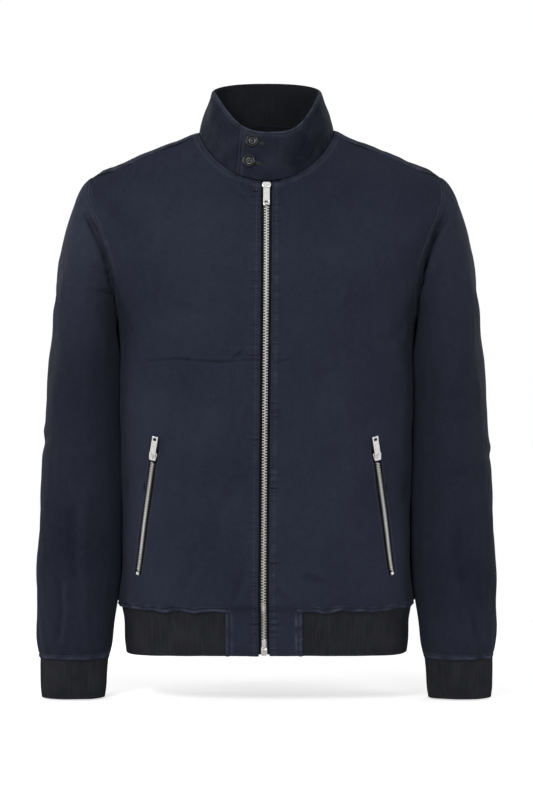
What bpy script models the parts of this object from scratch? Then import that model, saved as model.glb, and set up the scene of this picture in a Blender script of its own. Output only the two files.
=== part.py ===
"""Bomber jacket with a buttoned stand collar, filled out as worn, open at neck, hem and cuffs.

Frame: metres, +Z up, the front faces -Y and +X is the wearer's left. The origin lies midway
between the two points where shoulder and neck meet. All sizes below are in millimetres.

The cloth follows three parametric forms, each worked out from a short table of rings:
the body (rings from the neck seam to the end of the hem rib), the sleeve (rings from the
armhole to the end of the cuff) and the collar (a strip round the neck seam). A panel is a part
of such a form, given a wall on its inner side and parted from its neighbours at the seams.
"""

import math

import bmesh
import bpy
import numpy as np
from mathutils import Matrix, Vector

MM = 0.001
SEAM_GAP = 0.3  # between two pieces that are sewn together or touch
CLOTH = 1.7  # wall of the shell cloth with its seams pressed inward
COLLAR_CLOTH = 1.8
LINING = 1.5
RIB = 2.5
RIB_STEP = 1.0  # how far the rib lies below the folded edge of the cloth

GROOVE_SHARP, GROOVE_SOFT = 0.35, 0.75  # cosine between a panel's normal and the seam's
STEPS = 240  # points worked out on each half ring before its columns are placed
SHOULDER_ROW, UNDERARM_ROW = 4, 14
POCKET_TOP_ROW, POCKET_END_ROW = 18, 22
HEM_ROW, BAND_END_ROW = 26, 29

ARMHOLE_HEIGHT, ARMHOLE_MIDDLE_Z = 92.85, -154.15
SHOULDER_SEAM_Y, SIDE_SEAM_Y = -14, -3
ARMHOLE_FRONT_DEPTH, ARMHOLE_BACK_DEPTH, ARMHOLE_POINT = 64, 78, 1.25

ZIP_GAP = 6.5  # from the middle of the zip to the edge of each front
ZIP_LEAN = -4.0  # sideways drift of the front opening from neck to hem
BLOCK_WIDTH = 48.0
POCKET_TOP_X, POCKET_END_X = 136.5, 158.5
SLOT_HALF, SLOT_BORDER = 5.5, 5.5


def named_columns(names, *rows):
    """A table as one array for each named column."""
    return {name: np.array(column, float) for name, column in zip(names, zip(*rows))}


BODY = named_columns(
    ("row", "front_y", "front_z", "back_y", "back_z", "side_y", "square", "drop"),
    (0, -83, -67, 56, 8, 2, 2.00, 1.4),  # neck seam
    (2, -99, -113, 80, -29, 3, 2.10, 1.4),
    (4, -112, -160, 98, -77, 4, 2.10, 1.4),  # shoulder point
    (6, -117, -181, 107, -108, 3, 2.25, 1.8),
    (9, -123, -214, 116, -158, 1, 2.45, 1.9),
    (14, -125, -268, 120, -258, -3, 2.75, 2.0),  # underarm
    (16, -124, -330, 116, -326, -4, 2.95, 2.0),
    (18, -122, -399, 111, -399, -5, 3.05, 2.0),  # top of the pocket slot
    (20, -121, -477.5, 110, -477.5, -5, 3.05, 2.0),
    (22, -121.5, -556, 113, -556, -5, 3.00, 2.0),  # end of the pocket slot
    (24, -121, -587, 115, -588, -5, 2.95, 2.0),
    (26, -115, -600, 109, -601, -5, 2.85, 2.0),  # folded edge of the cloth
    (27, -112, -619, 106, -622, -5, 2.80, 2.0),
    (28, -111, -637, 105, -641, -5, 2.80, 2.0),
    (29, -108, -655, 102, -661, -5, 2.80, 2.0),  # end of the rib
)

# Shoulder seam (rows 0 to 4), armhole (4 to 14) and side seam (from 14 down).
SEAM = named_columns(
    ("row", "front_x", "back_x", "z"),
    (0, 84.0, 84.0, -8),
    (2, 150.5, 150.5, -33.3),
    (3, 184.0, 184.0, -45.5),
    (4, 219.0, 219.0, -61.3),
    (5, 222.5, 222.0, -67),
    (6, 223.0, 222.5, -80),
    (7, 218.0, 219.5, -101),
    (8, 207.5, 212.0, -127),
    (9, 198.0, 204.0, -155),
    (10, 192.5, 197.0, -183),
    (12, 188.5, 189.5, -229),
    (14, 187.0, 187.0, -247),
    (15, 186.8, 186.8, -284),
    (16, 186.5, 186.5, -322),
    (18, 185.0, 185.0, -399),
    (20, 183.3, 183.3, -477.5),
    (22, 184.5, 184.5, -556),
    (24, 187.0, 187.0, -588),
    (25, 186.0, 186.0, -596),
    (26, 184.3, 184.3, -601),
    (27, 180.7, 180.7, -622),
    (28, 180.5, 180.5, -641),
    (29, 178.5, 178.5, -660),
)

CAP_ROWS, SLEEVE_EDGE_ROW, CUFF_END_ROW = 6, 20, 23
SLEEVE_COLUMNS = 2 * (UNDERARM_ROW - SHOULDER_ROW)
CAP_SPACING = (0, 0.045, 0.11, 0.22, 0.42, 0.70, 1.0)
CAP_OUT_LOW, CAP_OUT_TOP, CAP_DROP_TOP = 0.20, 0.48, -0.35  # how the cap leaves the seam, per reach
CAP_SPREAD, CAP_FLARE = 0.10, 0.15
SLEEVE_SQUARE = 2.15
SLEEVE_CLEARANCE = 0.8  # between the hanging sleeve and the side of the body
SLEEVE = named_columns(
    ("row", "z", "inner_x", "outer_x", "front_y", "back_y"),
    (6, -290, 177.0, 275.5, -88, 75),  # upper arm
    (8, -340, 177.0, 279.5, -86, 68),
    (10, -395, 177.5, 282.5, -84, 55),  # elbow
    (12, -450, 178.0, 285.0, -83, 39),
    (14, -505, 178.5, 287.5, -83, 25),
    (16, -560, 181.5, 289.3, -82, 15),
    (17, -592, 187.0, 289.5, -81, 10),
    (18, -620, 191.5, 289.5, -79, 6),
    (19, -648, 194.5, 289.0, -75, 2),
    (20, -665, 198.5, 286.0, -69, -5),  # folded edge of the cloth
    (21, -682, 200.5, 285.8, -67.5, -6.5),
    (22, -700, 201.5, 285.5, -66.5, -8),
    (23, -715, 203.5, 284.0, -64.5, -10),  # end of the cuff
)
DRAPE_FRONT, DRAPE_BACK = 5.0, 1.5  # depth of the soft trough beside the armhole seam
DRAPE_PLACE, DRAPE_WIDTH = 11.0, 7.0

COLLAR_TOP = {"half": 67.5, "front_y": -74, "back_y": 46, "side_y": -10, "side_z": 48,
              "front_z": -7, "back_z": 61, "square": 2.4, "front_drop": 2.2, "back_drop": 1.0}
COLLAR_BULGE = 1.0
COLLAR_SEAM_GAP = 0.5  # the collar stands at an angle on the neck edges of the panels
TAB_OFFSET = COLLAR_CLOTH + LINING + 1.0
TAB_END, UNDER_END = 38.0, 12.0  # lap past the centre front, along the neck seam
TAB_RISE_START, TAB_RISE_END = 80.0, 18.0
COLLAR_COLUMNS = 40

# Zips: distances from the middle of the chain, rows of the body, heights above the cloth.
TAPE_SINK, TAPE, TAPE_INNER, TAPE_OUTER = CLOTH + SEAM_GAP, 0.8, 3.5, 16.0
CHAIN_HALF, CHAIN_RAISED, CHAIN_DEPTH = 3.15, 0.2, 2.8
POCKET_CHAIN_HALF, POCKET_CHAIN_DEPTH = 2.2, 1.5
CHAIN_FIRST_ROW, CHAIN_LAST_ROW = 0.47, 28.55
TAPE_FIRST_ROW, TAPE_LAST_ROW = 0.08, 28.9
SLIDER_ROW, BOX_ROW = 0.24, 28.62
POCKET_SLIDER_ROW, POCKET_CHAIN_ROW, POCKET_STOP_ROW = 18.22, 18.42, 21.84

PLATE_LOW, PLATE_HIGH = 0.6, 2.0  # slider's front plate above the cloth
AXIS_CLEAR = 1.15  # from the pull's axis to the plate and to the strap
AXIS_HEIGHT = PLATE_HIGH + AXIS_CLEAR
STRAP, STRAP_HALF, STRAP_INNER, STRAP_OUTER = 1.0, 1.4, 1.25, 2.35
PULL_HALF, PULL_THICK, PULL_BAR, PULL_WINDOW_HALF, PULL_WINDOW = 4.0, 1.1, 0.6, 1.85, 3.8

BUTTON_RADIUS, BUTTON_HOLE, BUTTON_HOLE_PLACE = 7.5, 0.9, 1.9
BUTTON_PROFILE = ((0, 0), (6.0, 0), (7.2, 0.9), (BUTTON_RADIUS, 1.8), (7.1, 2.7), (6.3, 3.1),
                  (5.4, 2.7), (4.6, 2.1), (0, 1.9))

SHELL_COLOUR = (0.024, 0.028, 0.044)
RIB_COLOUR = (0.014, 0.015, 0.019)
LINING_COLOUR = (0.009, 0.010, 0.013)
TAPE_COLOUR = (0.008, 0.008, 0.010)
METAL_COLOUR = (0.72, 0.71, 0.69)
TEETH_COLOUR = (0.38, 0.36, 0.33)
BUTTON_COLOUR = (0.055, 0.058, 0.064)


# ---------------------------------------------------------------- forms

def smooth(table, name, at):
    """The column's value at rows `at`, on a cubic through the table that never overshoots it:
    the slope at a row is the harmonic mean of its two neighbours' slopes where they agree."""
    row, value = table["row"], table[name]
    step, rise = np.diff(row), np.diff(value)
    slope = rise / step
    before, after = slope[:-1], slope[1:]
    agree = before * after > 0
    inner = np.where(agree, 2 * before * after / np.where(agree, before + after, 1), 0)
    slopes = np.concatenate([slope[:1], inner, slope[-1:]])
    i = np.clip(np.searchsorted(row, at, side="right") - 1, 0, len(step) - 1)
    t = (at - row[i]) / step[i]
    bend = slopes[i] * (t**3 - 2 * t**2 + t) + slopes[i + 1] * (t**3 - t**2)
    return value[i] + rise[i] * (3 * t**2 - 2 * t**3) + step[i] * bend


def ease(t):
    """Smooth step from 0 to 1."""
    t = np.clip(t, 0, 1)
    return t * t * (3 - 2 * t)


def seam_points(rows, face):
    """Shoulder seam, armhole and side seam of the front or the back, at x > 0.
    Round the armhole y = line between the seams -/+ depth * sin(angle)^point, angle 0 at the
    shoulder, and its height is that of a circle."""
    angle = math.pi * np.clip((rows - SHOULDER_ROW) / (UNDERARM_ROW - SHOULDER_ROW), 0, 1)
    depth = -ARMHOLE_FRONT_DEPTH if face == "front" else ARMHOLE_BACK_DEPTH
    y = SHOULDER_SEAM_Y + (SIDE_SEAM_Y - SHOULDER_SEAM_Y) * angle / math.pi
    y = y + depth * np.sin(angle) ** ARMHOLE_POINT
    y = np.where(rows <= SHOULDER_ROW, SHOULDER_SEAM_Y + (SHOULDER_ROW - rows) / 2, y)
    y = np.where(rows > UNDERARM_ROW, np.maximum(SIDE_SEAM_Y - (rows - UNDERARM_ROW) / 2, -5), y)
    inside = (rows > SHOULDER_ROW) & (rows < UNDERARM_ROW)
    z = np.where(inside, ARMHOLE_MIDDLE_Z + ARMHOLE_HEIGHT * np.cos(angle), smooth(SEAM, "z", rows))
    return np.stack([smooth(SEAM, face + "_x", rows), y, z], axis=-1)


def half_rings(rows, face):
    """Half rings of the body at x > 0, from the centre of the face round to the other centre.
    x = half * sin^(2/n), y = side_y -/+ depth * cos^(2/n), z = side_z + (centre_z - side_z) * cos^drop,
    where half and side_z are such that the ring meets the face's seam.
    Returns the points (row, step, xyz), each point's arc from the centre, and the seam's arc."""
    rows = np.asarray(rows, float)
    size = {name: smooth(BODY, name, rows)[:, None] for name in BODY if name != "row"}
    seam = seam_points(rows, face)
    seam_x, seam_y, seam_z = (seam[:, i, None] for i in range(3))
    ahead = seam_y < size["side_y"]
    depth = np.where(ahead, size["side_y"] - size["front_y"], size["back_y"] - size["side_y"])
    reach = np.abs(seam_y - size["side_y"]) / depth
    half = seam_x / (1 - reach ** size["square"]) ** (1 / size["square"])
    seam_cos = reach ** (size["square"] / 2)
    centre_z = np.where(ahead, size["front_z"], size["back_z"])
    fall = seam_cos ** size["drop"]
    side_z = (seam_z - centre_z * fall) / (1 - fall)

    quarter = np.pi / 4 * (1 - np.cos(np.pi * np.arange(STEPS + 1) / STEPS))
    turn = np.concatenate([quarter, np.pi / 2 + quarter[1:]])[None]
    front = turn < np.pi / 2 if face == "front" else turn > np.pi / 2
    cos = np.abs(np.cos(turn))
    reach_y = cos ** (2 / size["square"])
    reach_z = cos ** size["drop"]
    x = half * np.sin(turn) ** (2 / size["square"])
    y = size["side_y"] + reach_y * np.where(front, size["front_y"] - size["side_y"],
                                            size["back_y"] - size["side_y"])
    z = side_z + reach_z * (np.where(front, size["front_z"], size["back_z"]) - side_z)
    curve = np.stack([x, y, z], axis=-1)
    pieces = np.linalg.norm(np.diff(curve, axis=1), axis=2)
    arc = np.concatenate([np.zeros((len(rows), 1)), np.cumsum(pieces, axis=1)], axis=1)
    travel = np.abs(y - y[:, :1])
    seam_arc = read_rows(arc[..., None], travel, np.abs(seam_y - y[:, :1]))[..., 0]
    return curve, arc, seam_arc


def read_rows(curves, key, wanted):
    """Each row's curve read where that row's rising key has the wanted values."""
    low, span = key[:, :1], np.ptp(key, axis=1)[:, None]
    shift = 2 * np.arange(len(key))[:, None]
    known = ((key - low) / span + shift).ravel()
    asked = (np.clip((wanted - low) / span, 0, 1) + shift).ravel()
    flat = curves.reshape(-1, curves.shape[-1])
    read = np.stack([np.interp(asked, known, flat[:, i]) for i in range(flat.shape[1])], axis=-1)
    return read.reshape(wanted.shape + (flat.shape[1],))


def lean(points):
    """The front opening drifts sideways by ZIP_LEAN from neck to hem, and the sides stay."""
    down = ease((-67 - points[..., 2]) / 590)
    ahead = np.clip((-3 - points[..., 1]) / 120, 0, 1) ** 2
    moved = points.copy()
    moved[..., 0] += ZIP_LEAN * down * ahead
    return moved


def body_points(rows, arcs, face, sink=0.0):
    """Points of the body at x > 0, before the lean: arcs (row, column) from the face's centre,
    sunk below the cloth's outer side by `sink`."""
    curve, arc, _ = half_rings(rows, face)
    points = read_rows(curve, arc, arcs)
    if not np.any(sink):
        return points
    nudge = 1.0
    along = read_rows(curve, arc, arcs + nudge) - points
    lower = read_rows(*half_rings(np.asarray(rows) + 0.05, face)[:2], arcs) - points
    outward = np.cross(lower, along) if face == "front" else np.cross(along, lower)
    return points - sink * outward / np.linalg.norm(outward, axis=-1, keepdims=True)


def pocket_arcs(rows):
    """Arc of the middle of the pocket slot, a straight slanted line carried on above and below."""
    key_rows = np.array([POCKET_TOP_ROW, POCKET_END_ROW], float)
    curve, arc, seam_arc = half_rings(key_rows, "front")
    ends = np.array([[POCKET_TOP_X], [POCKET_END_X]])
    quarter = slice(0, STEPS)
    at = read_rows(arc[:, quarter, None], curve[:, quarter, 0], ends)[:, 0, 0]
    part = at / seam_arc[:, 0]
    rows = np.asarray(rows, float)
    inside = np.interp(rows, key_rows, at)
    share = np.interp(rows, [0, POCKET_TOP_ROW, POCKET_END_ROW], [0.54, part[0], part[1]])
    whole = half_rings(rows, "front")[2][:, 0]
    between = (rows >= POCKET_TOP_ROW) & (rows <= POCKET_END_ROW)
    return np.where(between, inside, share * whole)


def front_arcs(rows, counts):
    """Column arcs of a front: zip edge, block edge, both sides of the slot with the border of
    its tape beside them, outer seam."""
    rows = np.asarray(rows, float)
    seam_arc = half_rings(rows, "front")[2][:, 0]
    block = np.interp(rows, [0, HEM_ROW], [28, BLOCK_WIDTH])
    slot = pocket_arcs(rows)
    border = SLOT_HALF + SLOT_BORDER
    marks = [np.full(len(rows), ZIP_GAP), block, slot - border, slot - SLOT_HALF,
             slot + SLOT_HALF, slot + border, seam_arc]
    stretches = [
        start[:, None] + (end - start)[:, None] * np.arange(count) / count
        for start, end, count in zip(marks[:-1], marks[1:], counts)
    ]
    return np.concatenate(stretches + [seam_arc[:, None]], axis=1)


def body_half_width(y, z):
    """Half width of the body at depth y, below the underarm."""
    low = SEAM["row"] >= UNDERARM_ROW
    row = np.interp(-z, -SEAM["z"][low], SEAM["row"][low])
    size = {name: smooth(BODY, name, row) for name in ("side_y", "front_y", "back_y", "square")}
    ahead = y < size["side_y"]
    depth = np.where(ahead, size["side_y"] - size["front_y"], size["back_y"] - size["side_y"])
    reach = np.clip(np.abs(y - size["side_y"]) / depth, 0, 0.999)
    return smooth(SEAM, "front_x", row) * (1 - reach ** size["square"]) ** (1 / size["square"])


def sleeve_ring(rows, angles):
    """Sections of the sleeve below the cap: flattened ellipses, angle 0 at the inner side,
    90 degrees at the front, pushed off the side of the body."""
    size = {name: smooth(SLEEVE, name, rows)[:, None] for name in SLEEVE if name != "row"}
    power = 2 / SLEEVE_SQUARE
    cos, sin = np.cos(angles), np.sin(angles)
    x = (size["inner_x"] + size["outer_x"]) / 2
    x = x - (size["outer_x"] - size["inner_x"]) / 2 * np.sign(cos) * np.abs(cos) ** power
    y = (size["front_y"] + size["back_y"]) / 2
    y = y - (size["back_y"] - size["front_y"]) / 2 * np.sign(sin) * np.abs(sin) ** power
    z = np.broadcast_to(size["z"], y.shape)
    limit = body_half_width(y, z) + SLEEVE_CLEARANCE
    x = (x + limit + np.sqrt((x - limit) ** 2 + 1)) / 2
    return np.stack([x, y, z], axis=-1)


def armhole_loop(places):
    """Armhole points: place 0 at the underarm, up the front to the shoulder, down the back."""
    half = SLEEVE_COLUMNS / 2
    front = seam_points(UNDERARM_ROW - places, "front")
    back = seam_points(SHOULDER_ROW + places - half, "back")
    return np.where((places <= half)[:, None], front, back)


def sleeve_points(rows, places):
    """The sleeve at x > 0: the cap is a cubic from each armhole point to the upper-arm ring,
    with a soft trough beside the seam at front and back, and rings follow below it."""
    places = np.asarray(places, float)
    dense = np.linspace(0, SLEEVE_COLUMNS, 401)
    loop = armhole_loop(np.append(dense[:-1], 0))
    length = np.append(0, np.cumsum(np.linalg.norm(np.diff(loop, axis=0), axis=1)))
    middle = length[200]
    turn = np.where(length < middle, length / middle, 1 + (length - middle) / (length[-1] - middle))
    angles = np.interp(places, dense, turn * np.pi)

    start = armhole_loop(places)
    upper_arm = sleeve_ring(np.array([float(CAP_ROWS)]), angles[None])[0]
    reach = np.linalg.norm(upper_arm - start, axis=1)[:, None]
    top = (1 - np.cos(angles))[:, None] / 2
    side = np.sin(angles)[:, None]
    outward = CAP_OUT_LOW + (CAP_OUT_TOP - CAP_OUT_LOW) * top
    leave = reach * np.concatenate([outward, -CAP_SPREAD * side, CAP_DROP_TOP * top - (1 - top)], axis=1)
    arrive = reach * np.concatenate([CAP_FLARE * top, 0 * side, -1 - 0.2 * top], axis=1)

    rows = np.asarray(rows, float)
    t = np.interp(np.clip(rows, 0, CAP_ROWS), np.arange(CAP_ROWS + 1), CAP_SPACING)[:, None, None]
    cap = ((2 * t**3 - 3 * t**2 + 1) * start + (t**3 - 2 * t**2 + t) * leave
           + (3 * t**2 - 2 * t**3) * upper_arm + (t**3 - t**2) * arrive)
    along = t[..., 0] * reach[:, 0]
    depth = np.where(side[:, 0] > 0, DRAPE_FRONT, DRAPE_BACK) * side[:, 0] ** 2
    fold = depth * np.exp(-((along - DRAPE_PLACE) / DRAPE_WIDTH) ** 2) * ease(along / DRAPE_PLACE)
    cap[..., 1] += fold * np.sign(side[:, 0])
    cap[..., 0] -= fold / 2
    arm = sleeve_ring(np.maximum(rows, CAP_ROWS), np.broadcast_to(angles, (len(rows), len(places))))
    return np.where((rows < CAP_ROWS)[:, None, None], cap, arm)


def neck_loop():
    """Neck seam as a closed dense loop: centre front, wearer's right, back, left, centre front."""
    left = half_rings([0.0], "front")[0][0]
    right = left * (-1, 1, 1)
    loop = np.concatenate([right, left[-2::-1]])
    loop[:, 2] += COLLAR_SEAM_GAP
    return loop


def collar_top_loop():
    """Upper edge of the collar, with the same turns as the neck seam: a squarish ellipse
    whose height follows |cos|^drop between the sides and the front or back."""
    top = COLLAR_TOP
    turn = np.linspace(0, 2 * np.pi, 721)
    cos, sin = np.cos(turn), np.sin(turn)
    power = 2 / top["square"]
    depth = np.where(cos > 0, top["side_y"] - top["front_y"], top["back_y"] - top["side_y"])
    rise = np.where(cos > 0, top["front_z"], top["back_z"]) - top["side_z"]
    drop = np.where(cos > 0, top["front_drop"], top["back_drop"])
    return np.stack([-top["half"] * np.sign(sin) * np.abs(sin) ** power,
                     top["side_y"] - depth * np.sign(cos) * np.abs(cos) ** power,
                     top["side_z"] + rise * np.abs(cos) ** drop], axis=-1)


def by_length(loop, parts):
    """A closed loop read at parts of its length, 0 and 1 both at its start."""
    length = np.append(0, np.cumsum(np.linalg.norm(np.diff(loop, axis=0), axis=1)))
    at = np.mod(parts, 1) * length[-1]
    return np.stack([np.interp(at, length, loop[:, i]) for i in range(3)], axis=-1)


def collar_points(arcs, heights, sink=0.0):
    """The collar: arcs along the neck seam from the centre front, the wearer's right first,
    heights 0 at the seam and 1 at the top. The last stretch rises outward to lap as a tab."""
    base, top = neck_loop(), collar_top_loop()
    length = np.linalg.norm(np.diff(base, axis=0), axis=1).sum()

    def plain(arc, height):
        low, high = by_length(base, arc / length), by_length(top, arc / length)
        return low + (high - low) * height[..., None]

    arc, height = np.meshgrid(arcs, heights)
    here = plain(arc, height)
    across = plain(arc + 1, height) - plain(arc - 1, height)
    outward = np.cross(plain(arc, height + 0.05) - plain(arc, height - 0.05), across)
    outward /= np.linalg.norm(outward, axis=-1, keepdims=True)
    lap = ease((arc - (length - TAB_RISE_START)) / (TAB_RISE_START - TAB_RISE_END))
    out = COLLAR_BULGE * np.sin(np.pi * height) + TAB_OFFSET * lap - sink
    return here + outward * out[..., None]


def neck_length():
    return np.linalg.norm(np.diff(neck_loop(), axis=0), axis=1).sum()


# ---------------------------------------------------------------- solids

def grid_faces(rows, columns, keep=None, closed=False):
    """Four-cornered faces of a grid of points, facing down x right, as rows of point numbers."""
    cells = columns if closed else columns - 1
    r, c = np.meshgrid(np.arange(rows - 1), np.arange(cells), indexing="ij")
    right = (c + 1) % columns
    faces = np.stack([r * columns + c, (r + 1) * columns + c,
                      (r + 1) * columns + right, r * columns + right], axis=-1)
    return faces.reshape(-1, 4) if keep is None else faces[keep]


def point_normals(points, faces):
    """Unit normals at the points, each the mean of its faces' normals."""
    corners = points[faces]
    normals = np.cross(corners[:, 2] - corners[:, 0], corners[:, 3] - corners[:, 1])
    total = np.zeros_like(points)
    for corner in range(4):
        np.add.at(total, faces[:, corner], normals)
    return total / np.maximum(np.linalg.norm(total, axis=1, keepdims=True), 1e-9)


def border(faces):
    """Edges that only one face has, in that face's direction, with the face's number."""
    owners = {}
    for number, face in enumerate(faces):
        for a, b in zip(face, np.roll(face, -1)):
            owners.setdefault((min(a, b), max(a, b)), []).append((a, b, number))
    return [found[0] for found in owners.values() if len(found) == 1]


def parted(points, faces, normals, own, flat, gap):
    """Points with the borders drawn in by half of the seam gap: within the cloth's own face where
    the seam lies flat (1), and below that face where the seam is a sharp groove (0)."""
    centres = points[faces].mean(axis=1)
    drawn = {}
    for a, b, number in border(faces):
        line = points[b] - points[a]
        for end in (a, b):
            inward = centres[number] - points[end]
            inward = inward - line * (inward @ line) / (line @ line)
            inward = inward - normals[end] * (inward @ normals[end])
            drawn.setdefault(end, []).append(inward / np.linalg.norm(inward))
    moved = points.copy()
    for end, ways in drawn.items():
        mean = np.mean(ways, axis=0)
        way = flat[end] * mean / max(mean @ mean, 0.3) - (1 - flat[end]) * own[end]
        moved[end] += way * gap / 2
    return moved


def rim_faces(points, faces, below):
    """Rims between the borders of the outer and the inner side. Each is split from its higher
    outer corner, so that the rims on both sides of a seam are bent alike."""
    rank = points @ (0.2, 0.1, 1.0)
    rims = []
    for a, b, _ in border(faces):
        rim = (b, a, a + below, b + below)
        rims.append(rim if rank[b] > rank[a] else rim[1:] + rim[:1])
    return np.array(rims).reshape(-1, 4)


def wall_mesh(name, points, faces, thickness, normals=None, gap=0.0):
    """A closed wall: the given outer side, an inner side `thickness` below it, and the rims."""
    used, faces = np.unique(faces, return_inverse=True)
    faces = faces.reshape(-1, 4)
    outer = points[used]
    below = len(outer)
    own = point_normals(outer, faces)
    normals = own if normals is None else normals[used]
    flat = ease((np.sum(own * normals, axis=1) - GROOVE_SHARP) / (GROOVE_SOFT - GROOVE_SHARP))
    if gap:
        outer = parted(outer, faces, normals, own, flat, gap)
    normals = own + flat[:, None] * (normals - own)
    inner = outer - thickness * normals / np.linalg.norm(normals, axis=1, keepdims=True)
    rims = rim_faces(points[used], faces, below)
    all_faces = np.concatenate([faces, faces[:, [0, 3, 2, 1]] + below, rims])
    mesh = bpy.data.meshes.new(name)
    mesh.from_pydata((np.concatenate([outer, inner]) * MM).tolist(), [], all_faces.tolist())
    return mesh


def add(name, mesh, material, smooth_angle=40):
    """The object of one piece, shaded smooth but for its sharp edges."""
    mesh.validate()
    mesh.shade_smooth()
    mesh.set_sharp_from_angle(angle=math.radians(smooth_angle))
    piece = bpy.data.objects.new(name, mesh)
    piece.data.materials.append(material)
    bpy.context.scene.collection.objects.link(piece)
    return piece


def finish(name, colour, roughness, metallic=0.0):
    material = bpy.data.materials.new(name)
    material.use_nodes = True
    shader = material.node_tree.nodes["Principled BSDF"]
    shader.inputs["Base Color"].default_value = (*colour, 1)
    shader.inputs["Roughness"].default_value = roughness
    shader.inputs["Metallic"].default_value = metallic
    return material


def mirrored(points):
    """The same columns on the other side, in the order that keeps the faces pointing out."""
    return points[:, ::-1] * (-1, 1, 1)


# ---------------------------------------------------------------- cloth

def shell_panels():
    """Outer points, faces and grid sizes of the fronts, the back and the sleeves."""
    rows = np.arange(BAND_END_ROW + 1.0)
    counts = (3, 3, 1, 1, 1, 5)
    front = body_points(rows, front_arcs(rows, counts), "front")
    front[:, -1] = seam_points(rows, "front")
    row, column = np.meshgrid(np.arange(BAND_END_ROW), np.arange(sum(counts)), indexing="ij")
    slot = (column == sum(counts[:3])) & (row >= POCKET_TOP_ROW) & (row < POCKET_END_ROW)
    keep = ~slot & ((row < HEM_ROW) | (column < counts[0]))

    rows = np.arange(HEM_ROW + 1.0)
    seam_arc = half_rings(rows, "back")[2]
    back_half = body_points(rows, seam_arc * np.linspace(1, 0, 9), "back")
    back_half[:, 0] = seam_points(rows, "back")
    back = np.concatenate([back_half, back_half[:, -2::-1] * (-1, 1, 1)], axis=1)

    sleeve_rows = np.arange(SLEEVE_EDGE_ROW + 1.0)
    sleeve = sleeve_points(sleeve_rows, np.arange(float(SLEEVE_COLUMNS)))
    grid = grid_faces(*front.shape[:2], keep)
    flipped = grid_faces(*front.shape[:2], keep[:, ::-1])
    tube = grid_faces(*sleeve.shape[:2], closed=True)
    return {
        "front_left": (lean(front), grid),
        "front_right": (lean(mirrored(front)), flipped),
        "back": (back, grid_faces(*back.shape[:2])),
        "sleeve_left": (sleeve, tube),
        "sleeve_right": (mirrored(sleeve), tube),
    }


def make_shell(material):
    """Shell panels, whose walls share their normals where they meet at a seam."""
    panels = shell_panels()
    spots, normals = [], []
    for points, faces in panels.values():
        flat = points.reshape(-1, 3)
        spots.append(np.round(flat, 2))
        normals.append(point_normals(flat, faces))
    _, shared = np.unique(np.concatenate(spots), axis=0, return_inverse=True)
    shared = shared.ravel()
    total = np.zeros((shared.max() + 1, 3))
    np.add.at(total, shared, np.concatenate(normals))
    mean = total[shared] / np.maximum(np.linalg.norm(total[shared], axis=1, keepdims=True), 1e-9)
    first = 0
    for name, (points, faces) in panels.items():
        flat = points.reshape(-1, 3)
        own = mean[first:first + len(flat)]
        first += len(flat)
        add(name, wall_mesh(name, flat, faces, CLOTH, own, SEAM_GAP), material)


def make_hem_rib(material):
    """Rib band from block to block round the back, a step below the cloth's folded edge."""
    rows = np.array([HEM_ROW + 0.02, 27, 28, BAND_END_ROW - 0.25, BAND_END_ROW])
    front_seam = half_rings(rows, "front")[2]
    start = BLOCK_WIDTH + SEAM_GAP
    front = start + (front_seam - start) * np.linspace(0, 1, 9)
    front = body_points(rows, front, "front", RIB_STEP)
    back = half_rings(rows, "back")[2] * np.linspace(1, 0, 9)
    back = body_points(rows, back, "back", RIB_STEP)
    left = np.concatenate([front, back[:, 1:]], axis=1)
    left[:, :, 2] -= SEAM_GAP
    band = lean(np.concatenate([left, left[:, -2::-1] * (-1, 1, 1)], axis=1))
    faces = grid_faces(*band.shape[:2])
    add("hem_rib", wall_mesh("hem_rib", band.reshape(-1, 3), faces, RIB), material)


def make_cuff(name, side, material):
    """Rib cuff, a step below the folded edge of the sleeve."""
    rows = np.array([SLEEVE_EDGE_ROW, 21, 22, CUFF_END_ROW - 0.2, CUFF_END_ROW])
    cuff = sleeve_points(rows, np.arange(float(SLEEVE_COLUMNS)))
    normals = point_normals(cuff.reshape(-1, 3), grid_faces(*cuff.shape[:2], closed=True))
    cuff = cuff - RIB_STEP * normals.reshape(cuff.shape)
    cuff[:, :, 2] -= 2 * SEAM_GAP
    if side < 0:
        cuff = mirrored(cuff)
    faces = grid_faces(*cuff.shape[:2], closed=True)
    add(name, wall_mesh(name, cuff.reshape(-1, 3), faces, RIB), material)


def make_collar(shell, lining):
    """Outer collar and the dark inner collar behind it, both laid as one strip round the neck."""
    length = neck_length()
    layers = (
        ("collar", 0.0, COLLAR_CLOTH, 0.0, (1, 0.95, 0.7, 0.35, 0), shell),
        ("collar_lining", COLLAR_CLOTH + SEAM_GAP, LINING, 2.0, (0.965, 0.7, 0.35, 0.01), lining),
    )
    for name, sink, thickness, inset, heights, material in layers:
        arcs = np.linspace(-UNDER_END, length + TAB_END, COLLAR_COLUMNS + 1)
        arcs[[0, -1]] += inset, -inset
        strip = collar_points(arcs, np.array(heights), sink)[:, ::-1]
        faces = grid_faces(*strip.shape[:2])
        add(name, wall_mesh(name, strip.reshape(-1, 3), faces, thickness), material)


# ---------------------------------------------------------------- zip and buttons

def pull_outward(points, distance):
    """A strip of points moved outward (less for a minus) along its own normals."""
    faces = grid_faces(*points.shape[:2])
    return points + distance * point_normals(points.reshape(-1, 3), faces).reshape(points.shape)


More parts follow.
